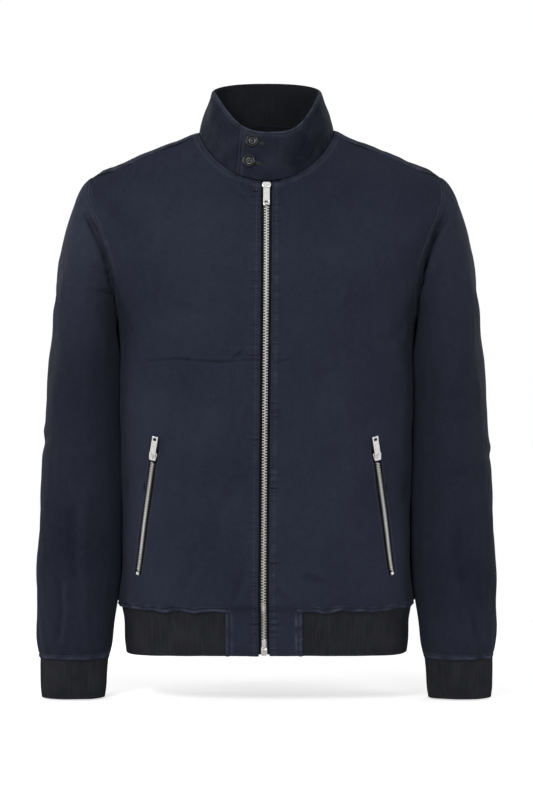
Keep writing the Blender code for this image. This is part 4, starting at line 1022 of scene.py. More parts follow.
def make_rib_group():
    """Fine rib knit: lit ribs between dark wales, small stitches down each, and uneven yarn.
    Light is the sum of streaks along the ribs, clouds and the rib itself."""
    tree, given, result = new_group(
        "rib_knit",
        (("Dark", "colour", rgba(RIB_COLOUR)), ("Light", "colour", rgba(RIB_LIGHT)),
         ("Rib", "value", 0.0022), ("Stitch", "value", 0.0014)),
        (("Color", "colour"), ("Height", "value")))
    across, down = uv_lengths(tree)
    rib = scaled(tree, math_node(tree, "COSINE", turns_of(tree, across, given["Rib"])), 0.5, 0.5)
    loop_turn = added(tree, turns_of(tree, down, given["Stitch"]), product(tree, rib, 2.0))
    loops = math_node(tree, "SINE", loop_turn)
    streak = ranged(tree, drawn_noise(tree, across, down, 330.0, 22.0, 3.0, 0.6), 0.32, 0.72, 0.06, 0.44)
    cloud = ranged(tree, noise_value(tree, 45.0, 3.0, 0.6), 0.3, 0.7, -0.1, 0.22)
    light = added(tree, added(tree, streak, cloud), product(tree, rib, 0.12))
    light = add_node(tree, "Clamp", Value=light).outputs[0]
    tree.links.new(mix_colours(tree, light, given["Dark"], given["Light"]), result["Color"])
    tree.links.new(added(tree, rib, product(tree, loops, 0.25)), result["Height"])
    return tree


def new_material(name, colour, **values):
    """A material with its Principled shader, plain values set on the shader's own sockets."""
    material = bpy.data.materials.new(name)
    material.use_nodes = True
    material.diffuse_color = rgba(colour)
    shader = material.node_tree.nodes["Principled BSDF"]
    shader.inputs["Base Color"].default_value = rgba(colour)
    for label, value in values.items():
        shader.inputs[label.replace("_", " ")].default_value = value
    return material, material.node_tree, shader


def grouped_material(name, group, colour, sockets, depth, **values):
    """A cloth material: a pattern group feeds the colour and, through a bump, the normal."""
    material, tree, shader = new_material(name, colour, **values)
    pattern = tree.nodes.new("ShaderNodeGroup")
    pattern.node_tree = group
    for label, value in sockets.items():
        pattern.inputs[label].default_value = value
    tree.links.new(pattern.outputs["Color"], shader.inputs["Base Color"])
    bump = add_node(tree, "Bump", Strength=0.5, Distance=depth, Height=pattern.outputs["Height"])
    tree.links.new(bump.outputs["Normal"], shader.inputs["Normal"])
    return material


def mottle(tree, shader, mask, colour, factor):
    """Turns the shader's colour toward the colour times a factor, as far as a mask says."""
    other = tuple(factor * part for part in colour)
    tree.links.new(mix_colours(tree, mask, rgba(colour), rgba(other)), shader.inputs["Base Color"])


def metal_material(name, colour, roughness):
    """Plated metal with fine scratches and dull patches that change its roughness and tone."""
    material, tree, shader = new_material(name, colour, Metallic=1.0, Roughness=roughness)
    patch = noise_value(tree, 900.0, 3.0, 0.6)
    rough = ranged(tree, patch, 0.3, 0.7, roughness - 0.08, roughness + 0.12)
    tree.links.new(rough, shader.inputs["Roughness"])
    mottle(tree, shader, patch, colour, 0.72)
    bump = add_node(tree, "Bump", Strength=0.25, Distance=METAL_BUMP, Height=patch)
    tree.links.new(bump.outputs["Normal"], shader.inputs["Normal"])
    return material


def make_materials():
    """Every material, under the pieces' names for them."""
    twill, rib = make_twill_group(), make_rib_group()
    made = {}
    for key, name, dye, worn, pitch, depth in (
            ("twill", "navy_twill", NAVY, NAVY_WORN, TWILL_PITCH, TWILL_BUMP),
            # Darker copies of the body's twill: painted shade on the sleeves and the collar.
            ("sleeve", "navy_twill_painted_shade_sleeves", SLEEVE_SHADED_NAVY, SLEEVE_SHADED_FADED, TWILL_PITCH, TWILL_BUMP),
            ("collar", "navy_twill_painted_shade_collar", COLLAR_SHADED_NAVY, COLLAR_SHADED_FADED, TWILL_PITCH, TWILL_BUMP),
            ("tape", "black_zip_tape", TAPE_COLOUR, TAPE_LIGHT, TAPE_PITCH, TAPE_BUMP)):
        sockets = {"Dye": rgba(dye), "Worn": rgba(worn), "Weave": pitch}
        made[key] = grouped_material(name, twill, dye, sockets, depth, **CLOTH_FINISH)
    for key, name, dark, light in (("rib", "charcoal_rib", RIB_COLOUR, RIB_LIGHT),
                                   ("lining", "dark_collar_knit", LINING_COLOUR, LINING_LIGHT)):
        sockets = {"Dark": rgba(dark), "Light": rgba(light), "Rib": KNIT_PITCH}
        made[key] = grouped_material(name, rib, dark, sockets, KNIT_BUMP, **CLOTH_FINISH)
    made["nickel"] = metal_material("bright_nickel", NICKEL, 0.24)
    made["teeth"] = metal_material("warm_zip_teeth", TEETH_METAL, 0.34)
    made["thread"], tree, shader = new_material("navy_thread", THREAD_COLOUR, Roughness=0.7, Sheen_Weight=0.2)
    mottle(tree, shader, noise_value(tree, 2600.0, 2.0, 0.6), THREAD_COLOUR, 1.5)
    made["hole"] = new_material("buttonhole_thread", HOLE_THREAD, Roughness=0.8)[0]
    made["button"], tree, shader = new_material("grey_button", BUTTON_COLOUR, Roughness=0.24,
                                                Specular_IOR_Level=0.32)
    swirl = ranged(tree, noise_value(tree, 320.0, 5.0, 0.65), 0.35, 0.65, 0.0, 1.0)
    mottle(tree, shader, swirl, BUTTON_COLOUR, 1.8)
    return made


# ---- shell

def view_relief(points, normals, side, views):
    """Folds given in flat views of a tube, each kept to the side that faces that view."""
    relief = 0
    for view, folds in views.items():
        axes, signs, facing = VIEWS[view]
        toward = ease(1.6 * (normals @ np.array(facing)))
        place = (points * (side, 1, 1))[..., axes] * signs
        relief = relief + toward * fold_relief(place, folds)
    return relief


def gathers(along, distance, size, seed, depth, reach):
    """Small upright gathers over a ribbed edge, dying away with the distance from it."""
    fullness = 0.7 + 0.5 * waves(along, 5 * size, seed + 1)
    return depth * waves(along, size, seed) * fullness * bell(distance / reach)


def relaxed(points, rows):
    """The grid with its columns smoothed about the shoulder point, where the seam turns, by
    repeated averaging of neighbours. The seams and the centre stay as they are."""
    points = points.copy()
    columns = points.shape[1]
    inward = np.minimum(np.arange(columns), columns - 1 - np.arange(columns))
    share = 0.9 * peak(rows, SHOULDER_ROW + 0.2, 1.3)[1:-1, None] * ease(inward / 14)[None]
    for _ in range(SHOULDER_ROUNDS):
        middle = (points[:-2] + points[2:]) / 2 - points[1:-1]
        points[1:-1] += share[..., None] * middle
    return points


def front_base():
    """Columns and arcs of a front, with closer columns beside the zip, the slot and the seams."""
    rows = BODY_ROWS
    seam_arc = half_rings(rows, "front")[2][:, 0]
    block = np.interp(rows, [0, HEM_ROW], [28, BLOCK_WIDTH])
    slot = pocket_arcs(rows)
    edge = np.full(len(rows), ZIP_GAP)
    marks = (
        (edge, None, ZIP_COLUMNS),
        (block, BLOCK_COLUMNS, (0, 2.5)),
        (slot - SLOT_HALF, SLOT_COLUMNS, (0, SLOT_HALF)),
        (slot + SLOT_HALF, (0, SLOT_HALF), SLOT_COLUMNS),
        (seam_arc, SEAM_COLUMNS, None),
    )
    arcs = column_arcs(marks, FRONT_STEP)
    points = body_points(rows, arcs, "front")
    points[:, -1] = seam_points(rows, "front")
    points = relaxed(points, rows)
    return {"points": points, "arcs": arcs, "edge": edge, "block": block, "slot": slot,
            "seam_arc": seam_arc, "rows": rows}


def back_base():
    """Columns of the back, from the wearer's left seam over the centre to the right one."""
    rows = BODY_ROWS[BODY_ROWS <= HEM_ROW]
    seam_arc = half_rings(rows, "back")[2][:, 0]
    marks = (
        (np.zeros(len(rows)), None, (0,)),
        (seam_arc, SEAM_COLUMNS, None),
    )
    arcs = column_arcs(marks, BACK_STEP)
    half = body_points(rows, arcs, "back")
    half[:, -1] = seam_points(rows, "back")
    half = relaxed(half, rows)
    points = np.concatenate([half[:, ::-1], half[:, 1:] * (-1, 1, 1)], axis=1)
    from_seam = seam_arc[:, None] - arcs
    return {"points": points, "rows": rows, "half": half.shape[1],
            "from_seam": np.concatenate([from_seam[:, ::-1], from_seam[:, 1:]], axis=1)}


def sleeve_base():
    """The sleeve as a closed grid, with a column at each row of the armhole's two sides."""
    armhole = BODY_ROWS[(BODY_ROWS >= SHOULDER_ROW) & (BODY_ROWS <= UNDERARM_ROW)]
    behind = armhole[1:-1] + SLEEVE_COLUMNS / 2 - SHOULDER_ROW
    places = np.concatenate([UNDERARM_ROW - armhole[::-1], behind])
    whole = np.arange(SLEEVE_EDGE_ROW + 1.0)
    lines = sleeve_points(whole, np.array([0.0, 5, 10, 15])).transpose(1, 0, 2)
    step = np.full(SLEEVE_EDGE_ROW, 3.8)
    step[:3] = 1.8, 1.8, 2.8
    step[-1] = 1.5
    return {"points": sleeve_points(cut_rows(lines, step), places), "closed": True}


def share_normals(panels):
    """Normals of the panels, which are the same on both sides of a seam unless it is a groove."""
    flats, faces = [], []
    for panel in panels:
        rows, columns = panel["points"].shape[:2]
        flats.append(panel["points"].reshape(-1, 3))
        faces.append(grid_faces(rows, columns, closed=panel.get("closed", False)))
    own = np.concatenate([point_normals(flat, face) for flat, face in zip(flats, faces)])
    _, same = np.unique(np.round(np.concatenate(flats), 2), axis=0, return_inverse=True)
    same = same.ravel()
    total = np.zeros((same.max() + 1, 3))
    np.add.at(total, same, own)
    mean = total[same] / np.maximum(np.linalg.norm(total[same], axis=1, keepdims=True), 1e-9)
    flat = ease((np.sum(own * mean, axis=1) - GROOVE_SHARP) / (GROOVE_SOFT - GROOVE_SHARP))
    normals = own + flat[:, None] * (mean - own)
    normals /= np.linalg.norm(normals, axis=1, keepdims=True)
    first = 0
    for panel, points in zip(panels, flats):
        panel["normals"] = normals[first:first + len(points)].reshape(panel["points"].shape)
        first += len(points)


def drape(points, seed):
    """Slow unevenness of hanging cloth with finer crumples in patches, the same on both sides
    of every seam."""
    slow = 1.1 * waves(points * (1, 1, 0.6), 95.0, seed) + 0.4 * waves(points * (1, 1, 0.7), 38.0, seed + 1)
    patches = 0.8 + 0.6 * waves(points, 120.0, seed + 3)
    return slow + 0.36 * waves(points * (1, 1, 0.5), 19.0, seed + 2) * patches


def calm(points, from_seam):
    """1 on open cloth and 0 at the side of the body where the sleeve lies against it."""
    return 1 - until(from_seam, 36, 30) * past(-points[..., 2], TOUCH_DROP, TOUCH_FADE)


def off_tip(row):
    """0 at the shoulder point, where the seams meet, and 1 away from it."""
    return 1 - peak(row, SHOULDER_ROW, 0.9)


def armhole_relief(from_seam, along, row, seed):
    """The armhole's edge with its lines of stitches, weaker toward the shoulder point."""
    lines = edge_relief(from_seam, along, seed, ARMHOLE_STITCHES, SEAM_LIFT, ARMHOLE_STITCHES[-1],
                        ARMHOLE_PUCKER, ARMHOLE_ROLL)
    return lines * (0.3 + 0.7 * past(row, SHOULDER_ROW, 3))


def beside_stitches(distance, lines):
    """1 on the ridges at both sides of each line of stitches."""
    return sum(peak(distance, line + BESIDE_STITCH, 0.8) + peak(distance, line - BESIDE_STITCH, 0.8)
               for line in lines)


def armhole_rows(rows):
    """The rows between shoulder point and underarm that carry the armhole's stitches."""
    return slice(np.searchsorted(rows, SHOULDER_ROW + 0.2), np.searchsorted(rows, UNDERARM_ROW - 0.5))


def hem_relief(from_hem, along, seed):
    """Folded edge over the rib: a raised roll below the groove of its stitches, a ridge above
    it, puckers across both, and gathers that die away up the cloth."""
    uneven = 1 + 0.4 * waves(along, 11.0, seed + 4)
    roll = HEM_ROLL * until(from_hem, HEM_STITCH + 0.4, 1.6)
    groove = -HEM_GROOVE * peak(from_hem, HEM_STITCH, 1.25) * uneven
    ridge = HEM_RIDGE * peak(from_hem, HEM_STITCH + 3.0, 1.7) * uneven
    pucker = HEM_PUCKER * waves(along, 7.5, seed) * peak(from_hem, 4, 5)
    gathered = gathers(along, from_hem, GATHER_SIZE, seed + 2, HEM_GATHER, 20.0)
    return roll + groove + ridge + pucker - HEM_END * bell(from_hem) + gathered


def hem_sway(from_hem, along, seed):
    """How far the sewn edge wanders up and down the rib, fading out above it."""
    return HEM_SWAY * waves(along, 44.0, seed) * bell(from_hem / 14)


def shoulder_sink(row, from_seam):
    """How far the cloth settles just inside the shoulder point, the same at front and back."""
    inside = peak(row, SHOULDER_ROW - 0.95, 0.75) * until(row, SHOULDER_ROW, 0.8)
    return SHOULDER_SINK * inside * bell(from_seam / 45)


def moved(panel, relief, worn):
    """The panel with its points moved up by its sway and out by the relief. Its lengths round
    and down are measured before the relief."""
    base = panel["points"].copy()
    base[..., 2] += panel.get("sway", 0.0)
    closed = panel.get("closed", False)
    panel["round"] = run_lengths(closed_up(base) if closed else base, 1)
    panel["down"] = run_lengths(closed_up(base) if closed else base, 0)
    panel["points"] = base + panel["normals"] * relief[..., None]
    # Values below zero are painted shade, darker than the plain dye; some values above zero are painted
    # light.
    panel["worn"] = np.clip(worn, -0.3, 1)
    return panel


def front_places(panel, side, seed):
    """Where the points of a front lie: their distances from its edges, and what is near them."""
    at = SimpleNamespace(rows=panel["rows"], row=panel["rows"][:, None], arcs=panel["arcs"])
    at.down = run_lengths(panel["points"], 0)
    at.zip_along, at.seam_along = at.down[:, :1], at.down[:, -1:]
    at.zip = at.arcs - panel["edge"][:, None]
    at.seam = panel["seam_arc"][:, None] - at.arcs
    at.block = panel["block"][:, None] - at.arcs
    at.slot = at.arcs - panel["slot"][:, None]
    at.hem_row = np.searchsorted(at.rows, HEM_ROW - TINY)
    at.hem = at.down[at.hem_row] - at.down
    at.above = at.hem > -0.01
    at.over_rib = until(at.block, BLOCK_STITCH + 1.5, 3)
    at.sewn = (at.row > SHOULDER_ROW) & (at.row < UNDERARM_ROW)
    at.open = (at.rows >= POCKET_TOP_ROW - TINY) & (at.rows < POCKET_END_ROW - TINY)
    at.under_tab = until(at.arcs, UNDER_TAB_RIGHT if side < 0 else UNDER_TAB_LEFT, 8)
    patches = 0.75 + 0.5 * waves(at.zip_along, ZIP_PUCKER_PATCH, seed + 5)
    at.ripples = waves(at.zip_along, ZIP_PUCKER_SIZE, seed + 3) * patches
    return at


def front_cells(panel, at):
    """The cells of a front that are cloth: not the pocket slot, nor what the rib replaces."""
    centre = (at.arcs[:, :-1] + at.arcs[:, 1:]) / 2
    in_slot = np.abs(centre - panel["slot"][:, None])[:-1] < SLOT_HALF
    in_block = centre[:-1] < panel["block"][:-1, None]
    return ~(in_slot & at.open[:-1, None]) & ((at.row[:-1] < HEM_ROW - TINY) | in_block)


def front_relief(panel, at, side, seed, folds):
    """Relief of a front: puckers along the zip, sewn edges at neck and armhole, a welt round
    the slot, the folded hem or the block's edge, and soft folds."""
    relief = edge_relief(at.zip, at.zip_along, seed, (ZIP_STITCH,), ZIP_LIFT, ZIP_STITCH, 0.0)
    toward_ends = 0.75 + 0.6 * peak(at.zip_along, at.zip_along[-1], 90) + 0.4 * bell(at.zip_along / 80)
    relief += ZIP_PUCKER * toward_ends * at.ripples * peak(at.zip, 5.0, 7.5)
    relief += edge_relief(at.down, at.arcs, seed + 6, NECK_STITCHES, NECK_LIFT, NECK_STITCHES[-1], 0.35, 0.5)
    relief -= TAB_PRESS * at.under_tab * bell(at.down / 2.4)
    armhole = armhole_relief(at.seam, at.seam_along, at.row, seed + 8)
    side_seam = edge_relief(at.seam, at.seam_along, seed, roll=0.4)
    relief += off_tip(at.row) * np.where(at.sewn, armhole, side_seam)

    gap = np.abs(at.slot) - SLOT_HALF
    share = np.clip((at.row - POCKET_TOP_ROW) / (POCKET_END_ROW - POCKET_TOP_ROW), -0.02, 1.02)
    welt = WELT_LIFT * until(gap, 3.2, 1.6) - WELT_EDGE * bell(np.maximum(gap, 0) / 0.7)
    welt -= WELT_GROOVE * peak(gap, SLOT_STITCH, 0.6)
    welt += WELT_PUCKER * waves(at.down, 7.0, seed + 9) * bell(gap / 5)
    relief += welt * past(share, -0.02, 0.03) * until(share, 1.02, 0.03)

    hem = at.over_rib * hem_relief(np.abs(at.hem), at.arcs, seed + 11)
    block = BLOCK_ROLL * until(at.block, BLOCK_STITCH + 0.4, 1.6)
    block -= BLOCK_GROOVE * peak(at.block, BLOCK_STITCH, 1.1) + BLOCK_END * bell(at.block / 0.8)
    block += BLOCK_PUCKER * waves(at.down, 8.0, seed + 12) * peak(at.block, 4, 4.5)
    relief += np.where(at.above, hem, block * until(at.hem, 4, 8))
    relief -= np.where(at.row > HEM_ROW, 0.8 * bell(at.down[-1] - at.down), 0)

    slack = drape(panel["points"], COMMON_SEED) * ease(at.zip / 14)
    slack += view_relief(panel["points"], panel["normals"], side, {"front": folds})
    return relief + slack * calm(panel["points"], at.seam)


def front_wear_and_shadow(at, seed):
    """How far the dye has faded, in patches: beside the stitches and on the raised edges, less a painted
    shadow under the collar's tab.
    """
    worn = ZIP_WORN * (peak(at.zip, ZIP_STITCH + 1.2, 1.2) + peak(at.zip, ZIP_STITCH - 1.5, 1.3))
    worn = worn + ZIP_WORN * np.clip(at.ripples, -0.8, 1) * peak(at.zip, 5.5, 5.0)
    worn = worn + ARMHOLE_WORN * at.sewn * until(at.row, 11, 3) * beside_stitches(at.seam, ARMHOLE_STITCHES)
    # Painted shadow under the collar's tab.
    worn = worn - TAB_SHADOW * at.under_tab * bell(at.down / 2.6)
    worn = worn + 0.14 * peak(at.down, 5, 1.5) + 0.10 * peak(at.down, 9, 0.9)
    hem = peak(at.hem, 3.4, 1.2) + 0.8 * peak(at.hem, HEM_STITCH + 2.4, 1.0)
    block = peak(at.block, 2.6, 1.4) + 0.7 * peak(at.block, BLOCK_STITCH + 1.5, 0.9)
    worn = worn + np.where(at.above, HEM_WORN * at.over_rib * hem, BLOCK_WORN * block)
    uneven = np.maximum(0.6 + 0.6 * waves(at.down, 25.0, seed + 20), 0.1)
    return worn * uneven * np.maximum(0.9 + 0.5 * waves(at.arcs, 19.0, seed + 22), 0.2)


def front_stitches(panel, at):
    """A front's lines of stitches: zip, block, hem, neck, armhole and both sides of the slot."""
    beside_zip = slice(np.searchsorted(at.down[:, 0], 1.5), None)
    on_block = slice(np.searchsorted(at.down[:, 0], at.down[at.hem_row, 0] - BLOCK_STITCH), None)
    upper = slice(0, at.hem_row + 1)
    cloth = dict(panel, points=panel["points"][upper], normals=panel["normals"][upper])
    first = np.nonzero(at.block[at.hem_row] < BLOCK_STITCH + 0.1)[0][0]
    pocket = np.nonzero(at.open)[0]
    pocket = slice(pocket[0], pocket[-1] + 2)
    lines = [line_across(panel, at.zip, ZIP_STITCH, beside_zip),
             line_across(panel, -at.block, -BLOCK_STITCH, on_block),
             line_down(cloth, -at.hem[upper], -HEM_STITCH, slice(first, None))]
    lines += [line_down(panel, at.down, value, slice(2, None)) for value in NECK_STITCHES]
    lines += [line_across(panel, -at.seam, -value, armhole_rows(at.rows)) for value in ARMHOLE_STITCHES]
    lines += [line_across(panel, at.slot, way * (SLOT_HALF + SLOT_STITCH), pocket) for way in (-1, 1)]
    return lines


def make_front(name, base, side, materials):
    """A front with its block, cut open at the pocket slot, and its stitches."""
    panel = dict(base)
    seed = 40 if side > 0 else 70
    at = front_places(panel, side, seed)
    relief = front_relief(panel, at, side, seed, FOLDS[name])
    sway = hem_sway(at.hem, at.arcs, seed + 13) * at.over_rib
    panel["sway"] = sway * ease(at.seam / 12) * past(at.hem, -6, 5) - shoulder_sink(at.row, at.seam)
    panel = moved(panel, relief, front_wear_and_shadow(at, seed))
    panel["keep"], panel["leans"] = front_cells(panel, at), True
    piece = cloth_wall(name + "_cloth", panel, side, materials["twill"], CLOTH)
    carried(piece, [name])
    sew(name + "_stitches", panel, side, front_stitches(panel, at), materials["thread"])
    return piece, panel


def make_back(base, materials):
    """The back with its sewn neck, shoulders, armholes, sides and folded hem, and its stitches."""
    panel = dict(base)
    rows, row, from_seam = panel["rows"], panel["rows"][:, None], panel["from_seam"]
    down, across = run_lengths(panel["points"], 0), run_lengths(panel["points"], 1)
    from_hem = down[-1] - down
    on_shoulder, in_armhole = row <= SHOULDER_ROW, row < UNDERARM_ROW
    shoulder = edge_relief(from_seam, down, 103, SHOULDER_STITCHES, SEAM_LIFT, SHOULDER_STITCHES[-1],
                           0.15, 0.4)
    armhole = armhole_relief(from_seam, down, row, 105)
    side_seam = edge_relief(from_seam, down, 107, (SIDE_STITCH,), 0.3, SIDE_STITCH, 0.2)
    relief = edge_relief(down, across, 101, NECK_STITCHES, NECK_LIFT, NECK_STITCHES[-1], 0.25)
    relief += off_tip(row) * np.where(on_shoulder, shoulder, np.where(in_armhole, armhole, side_seam))
    slack = drape(panel["points"], COMMON_SEED)
    slack = slack + view_relief(panel["points"], panel["normals"], 1, {"back": FOLDS["back"]})
    relief += hem_relief(from_hem, across, 111) + slack * calm(panel["points"], from_seam)

    worn = 0.4 * peak(down, 5, 1.5) + 0.6 * peak(from_hem, 2.6, 1.8)
    worn = worn + on_shoulder * (0.4 * peak(from_seam, 4.0, 3.0) + 0.3 * peak(from_seam, 9.5, 1.2))
    worn = worn + BACK_ARMHOLE_WORN * in_armhole * beside_stitches(from_seam, ARMHOLE_STITCHES)
    worn = worn * (0.6 + 0.5 * waves(down, 25.0, 120))
    panel["sway"] = -shoulder_sink(row, from_seam)
    panel = moved(panel, relief, worn)
    piece = carried(cloth_wall("back_cloth", panel, 1, materials["twill"], CLOTH), ["back"])

    top = slice(0, np.searchsorted(rows, SHOULDER_ROW) + 1)
    under = slice(np.searchsorted(rows, UNDERARM_ROW + 0.2), len(rows))
    lines = [line_down(panel, down, value) for value in NECK_STITCHES]
    lines += [line_down(panel, down - down[-1], -HEM_STITCH)]
    half = panel["half"]
    for columns, sign in ((slice(0, half), 1), (slice(half - 1, None), -1)):
        part = dict(panel, points=panel["points"][:, columns], normals=panel["normals"][:, columns])
        key = sign * from_seam[:, columns]
        lines += [line_across(part, key, sign * value, top) for value in SHOULDER_STITCHES]
        lines += [line_across(part, key, sign * value, armhole_rows(rows)) for value in ARMHOLE_STITCHES]
        lines += [line_across(part, key, sign * SIDE_STITCH, under)]
    sew("back_stitches", panel, 1, lines, materials["thread"])
    return piece, panel


def make_sleeve(name, base, side, materials):
    """A sleeve with its eased cap, folds and gathers, pressed flat where it meets the body."""
    panel = dict(base)
    points, normals = panel["points"], panel["normals"]
    down, low = run_lengths(points, 0), -points[..., 2]
    around = run_lengths(closed_up(points), 1)[:, :-1]
    from_cuff = down[-1] - down
    seed = 200 if side > 0 else 240
    seam_along = around[:1]
    at_shoulder = peak(seam_along, around[0, around.shape[1] // 2], 45)
    relief = edge_relief(down, seam_along, seed) * (1 - 0.8 * at_shoulder)
    relief -= CAP_SINK * at_shoulder * peak(down, 42, 24)
    relief += 0.3 * waves(seam_along, 14.0, seed + 1) * peak(down, 9, 10) * ease(down / 5)
    relief += 0.7 * hem_relief(from_cuff, around[-1:], seed + 2)
    relief += gathers(around[-1:], from_cuff, GATHER_SIZE, seed + 5, SLEEVE_GATHER, 42.0)
    touching = ease(-1.5 * normals[..., 0]) * past(low, TOUCH_DROP, TOUCH_FADE)
    relief = relief * (1 - touching) + SLEEVE_PRESS * touching * until(low, 600, 30)
    slack = drape(points, COMMON_SEED) + view_relief(points, normals, side, SLEEVE_FOLDS[name])
    relief += slack * (1 - touching)
    beside = ease(-1.8 * normals[..., 0] - 0.2) * ease(-1.6 * normals[..., 1])
    relief -= SLEEVE_SLIM * beside * past(low, 235, 60) * until(low, 640, 40)
    ahead = ease(-1.5 * normals[..., 1]) * past(low, 95, 20) * until(low, TOUCH_DROP, TOUCH_FADE)
    relief -= SLEEVE_TROUGH * peak(down, DRAPE_PLACE, 3.4) * ahead

    worn = SLEEVE_WORN_END * peak(from_cuff, 2.6, 1.8) + 0.3 * peak(from_cuff, CUFF_STITCH + 1.4, 0.9)
    worn = worn * (0.6 + 0.5 * waves(around, 25.0, seed + 7))
    # Painted light: paler at the top of the sleeve, fading down the arm to a touch darker than plain, then a
    # little paler again toward the cuff.
    worn = worn + 0.20 - 0.22 * past(low, 110, 230) + 0.05 * past(low, 560, 60)
    panel = moved(panel, relief, worn)
    piece = cloth_wall(name + "_cloth", panel, side, materials["sleeve"], CLOTH)
    carried(piece, [name])
    line = line_down(panel, down - down[-1], -CUFF_STITCH)
    line = tuple(np.concatenate([part, part[:1]]) for part in line)
    sew(name + "_stitches", panel, side, [line], materials["thread"])
    return piece, panel


# ---- rib and collar

def rib_arcs(start, end):
    """Shares of a strip's width, four to each rib."""
    return np.linspace(0, 1, int(round((end - start) / RIB_PITCH)) * RIB_COLUMNS + 1)


def rib_relief(around, distance_up, distance_down, seed):
    """Raised ribs, with a rounded lower edge and slight waves."""
    ribs = RIB_DEPTH * np.cos(2 * np.pi * around / RIB_PITCH)
    inset = 1 - np.clip(distance_down / 1.3, 0, 1)
    rounded = -1.1 * (1 - np.sqrt(1 - inset**2))
    return ribs + rounded + 0.5 * waves(around, 46.0, seed) * ease(distance_up / 12)


def ending_rows(first, last, per_row, count):
    """Even rows, with a few close to the end for its rounded edge."""
    rows = np.linspace(first, last + RIB_END[0] / per_row, count)
    return np.concatenate([rows, last + RIB_END[1:] / per_row])


def make_hem_rib(material):
    """The band of rib from block to block round the back, its ends tucked under the blocks."""
    rows = ending_rows(HEM_ROW - 0.6, BAND_END_ROW, BAND_ROW_LENGTH, 18)
    front_seam, back_seam = half_rings(rows, "front")[2], half_rings(rows, "back")[2]
    start = BLOCK_WIDTH - RIB_TUCK
    front_share = rib_arcs(start, front_seam.mean())
    back_share = rib_arcs(0, back_seam.mean())[::-1]
    front = body_points(rows, start + (front_seam - start) * front_share, "front")
    back = body_points(rows, back_seam * back_share, "back")
    left = np.concatenate([front, back[:, 1:]], axis=1)
    band = np.concatenate([left, left[:, -2::-1] * (-1, 1, 1)], axis=1)
    normals = grid_normals(band)
    columns = np.arange(band.shape[1]) * RIB_PITCH / RIB_COLUMNS
    down = run_lengths(band, 0)
    ends = np.minimum(columns, columns[-1] - columns)
    relief = rib_relief(columns[None], down, down[-1] - down, 300) - RIB_STEP
    relief -= 0.9 * until(down, 5.5, 5) + 1.3 * until(ends, RIB_TUCK + 0.8, 2.5)
    points = lean(band + normals * relief[..., None])
    points[..., 2] -= SEAM_GAP
    around = np.broadcast_to(columns, points.shape[:2])
    panel = {"points": points, "normals": normals, "round": around, "down": down}
    piece = carried(cloth_wall("hem_rib_knit", panel, 1, material, RIB, 80), ["hem_rib"])
    return piece, panel


def make_cuff(name, side, material):
    """A tube of rib with a whole number of ribs round the sleeve's end."""
    rows = ending_rows(float(SLEEVE_EDGE_ROW), CUFF_END_ROW, CUFF_ROW_LENGTH, 14)
    round_places = np.linspace(0, SLEEVE_COLUMNS, 401)
    outline = sleeve_points(np.array([21.0]), round_places[:-1])
    length = run_lengths(np.concatenate([outline, outline[:, :1]], axis=1), 1)[0]
    ribs = int(round(length[-1] / RIB_PITCH))
    share = np.arange(ribs * RIB_COLUMNS) / (ribs * RIB_COLUMNS)
    cuff = sleeve_points(rows, np.interp(share * length[-1], length, round_places))
    normals = grid_normals(cuff, closed=True)
    columns = np.arange(len(share) + 1) * RIB_PITCH / RIB_COLUMNS
    down = run_lengths(cuff, 0)
    relief = rib_relief(columns[None, :-1], down, down[-1] - down, 310 + side) - RIB_STEP
    points = cuff + normals * relief[..., None]
    points[..., 2] -= 2 * SEAM_GAP
    down = np.concatenate([down, down[:, :1]], axis=1)
    panel = {"points": points, "normals": normals, "closed": True, "down": down,
             "round": np.broadcast_to(columns, down.shape)}
    piece = carried(cloth_wall(name + "_knit", panel, side, material, RIB, 80), [name])
    return piece, panel


